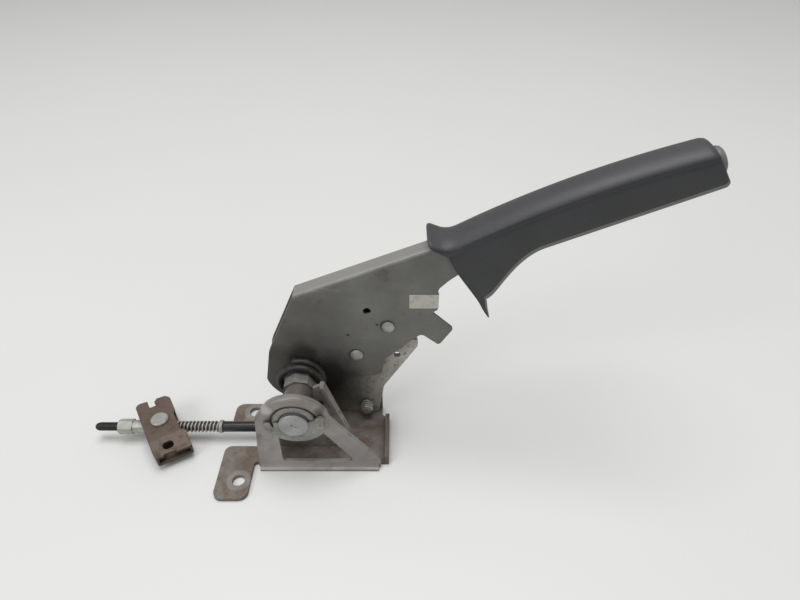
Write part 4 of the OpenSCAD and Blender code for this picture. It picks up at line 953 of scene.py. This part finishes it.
def grip_ring(u, shift=0.0, share=1.0, lift=0.0, behind=0.0, square=1.0):
    """Ring of the grip at share u of its length, kept behind the hilt; lift raises its crown."""
    top = grip_top(u) + Vector((0.0, lift))
    low = grip_low(u)
    height = (top - low).length
    up = (top - low) / height
    wide = GRIP_W / 2
    half = half_section(height, low_width(u), wide, wide + 0.4 * lift, DOME_H + lift, square)
    ring = []
    for w, q in both_halves(half):
        place = low + up * (height / 2 + (q - height / 2) * share)
        upper = ease((place.y - CROWN_Z + NECK_DOWN) / NECK_FADE)
        plate = hilt_face(place.y, 1.0) + behind * (1.0 + NECK_SPREAD * upper)
        along = soft_max(place.x + shift, plate, NECK_EASE * upper)
        ring.append(lever_point(along, w * share, place.y))
    return ring


def hilt_ring(back, share=1.0, hollow=0.0):
    """Ring of the hilt's plate, from its front at back 0 to its rear at 1, hollowed above the tab."""
    top = Vector((GRIP_START, HILT_TOP))
    low = grip_low(0.0)
    height = (top - low).length
    up = (top - low) / height
    dome = top.y - grip_top(0.0).y + DOME_H
    half = half_section(height, low_width(0.0), GRIP_W / 2, HILT_W / 2, dome, HILT_SQUARE)
    ring = []
    for w, q in both_halves(half):
        place = low + up * (height / 2 + (q - height / 2) * share)
        depth = hollow * ease((place.y - TAB_TOP.y - HOLLOW_CLEAR) / HOLLOW_FADE)
        ring.append(lever_point(hilt_face(place.y, back) + depth, w * share, place.y))
    return ring


def rim_weights():
    """Weight of the rolled lower edge, where a reflection of the floor is painted, for each point of a grip
    ring, taken from a ring of any height.
    """
    half = half_section(40.0, GRIP_W / 2, GRIP_W / 2, GRIP_W / 2, DOME_H, 1.0)
    return [1.0 if q < FOOT_R + 1.0 else 0.0 for _, q in both_halves(half)]


def bore_ring(outer, along):
    """Circle of the button's bore, with one point for each point of the ring outside it."""
    up = Vector(LEVER_UP)
    points = []
    for vert in outer:
        away = vert.co - lever_point(0.0, 0.0, BUTTON_Z)
        rise = up.dot(away)
        reach = math.hypot(away.y, rise)
        y = BORE_R * MM * away.y / reach
        z = BORE_R * MM * rise / reach
        lean = Vector(LEVER_ALONG) * (-BORE_LEAN * z)
        points.append(lever_point(along, 0.0, BUTTON_Z) + Vector((0, y, 0)) + up * z + lean)
    return points


def make_grip(finishes):
    """Shell from the hilt's hollow front to the floor of the button's bore."""
    rings = [hilt_ring(back, share, hollow) for back, share, hollow in PLATE_RINGS]
    rings += [grip_ring(u, lift=lift * HILT_LIFT, behind=behind, square=square)
              for u, lift, behind, square in NECK_RINGS]
    rings += [grip_ring(i / GRIP_STATIONS, behind=BODY_BEHIND)
              for i in range(FIRST_STATION, GRIP_STATIONS + 1)]
    rings += [grip_ring(1.0, shift, share) for shift, share in END_RINGS]
    shell = bmesh.new()
    # Weights for the painted reflection of the floor on the rolled lower edge
    rim = shell.verts.layers.float.new("rim")
    rows = [[shell.verts.new(p) for p in ring] for ring in rings]
    for row in rows[len(PLATE_RINGS):]:
        for vert, weight in zip(row, rim_weights()):
            vert[rim] = weight
    for along in (BORE_MOUTH, BORE_FLOOR):
        rows.append([shell.verts.new(p) for p in bore_ring(rows[-1], along)])
    count = len(rows[0])
    for first, second in zip(rows, rows[1:]):
        for k in range(count):
            shell.faces.new((first[k], first[(k + 1) % count], second[(k + 1) % count], second[k]))
    shell.faces.new(rows[-1])
    shell.faces.new(list(reversed(rows[0])))
    bmesh.ops.recalc_face_normals(shell, faces=shell.faces[:])
    for face in shell.faces:
        face.smooth = True
    mesh = bpy.data.meshes.new("grip_moulding")
    shell.to_mesh(mesh)
    shell.free()
    piece = mesh_object("grip_moulding", mesh, "lever", finishes["grip_vinyl"])
    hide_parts("grip")


place_camera()
light_the_room()
lay_floor()
FINISHES = make_finishes()
finish_nodes(FINISHES)
make_coils(FINISHES)
make_torsion_spring(FINISHES)
make_grip(FINISHES)

scene.view_settings.view_transform = "Standard"
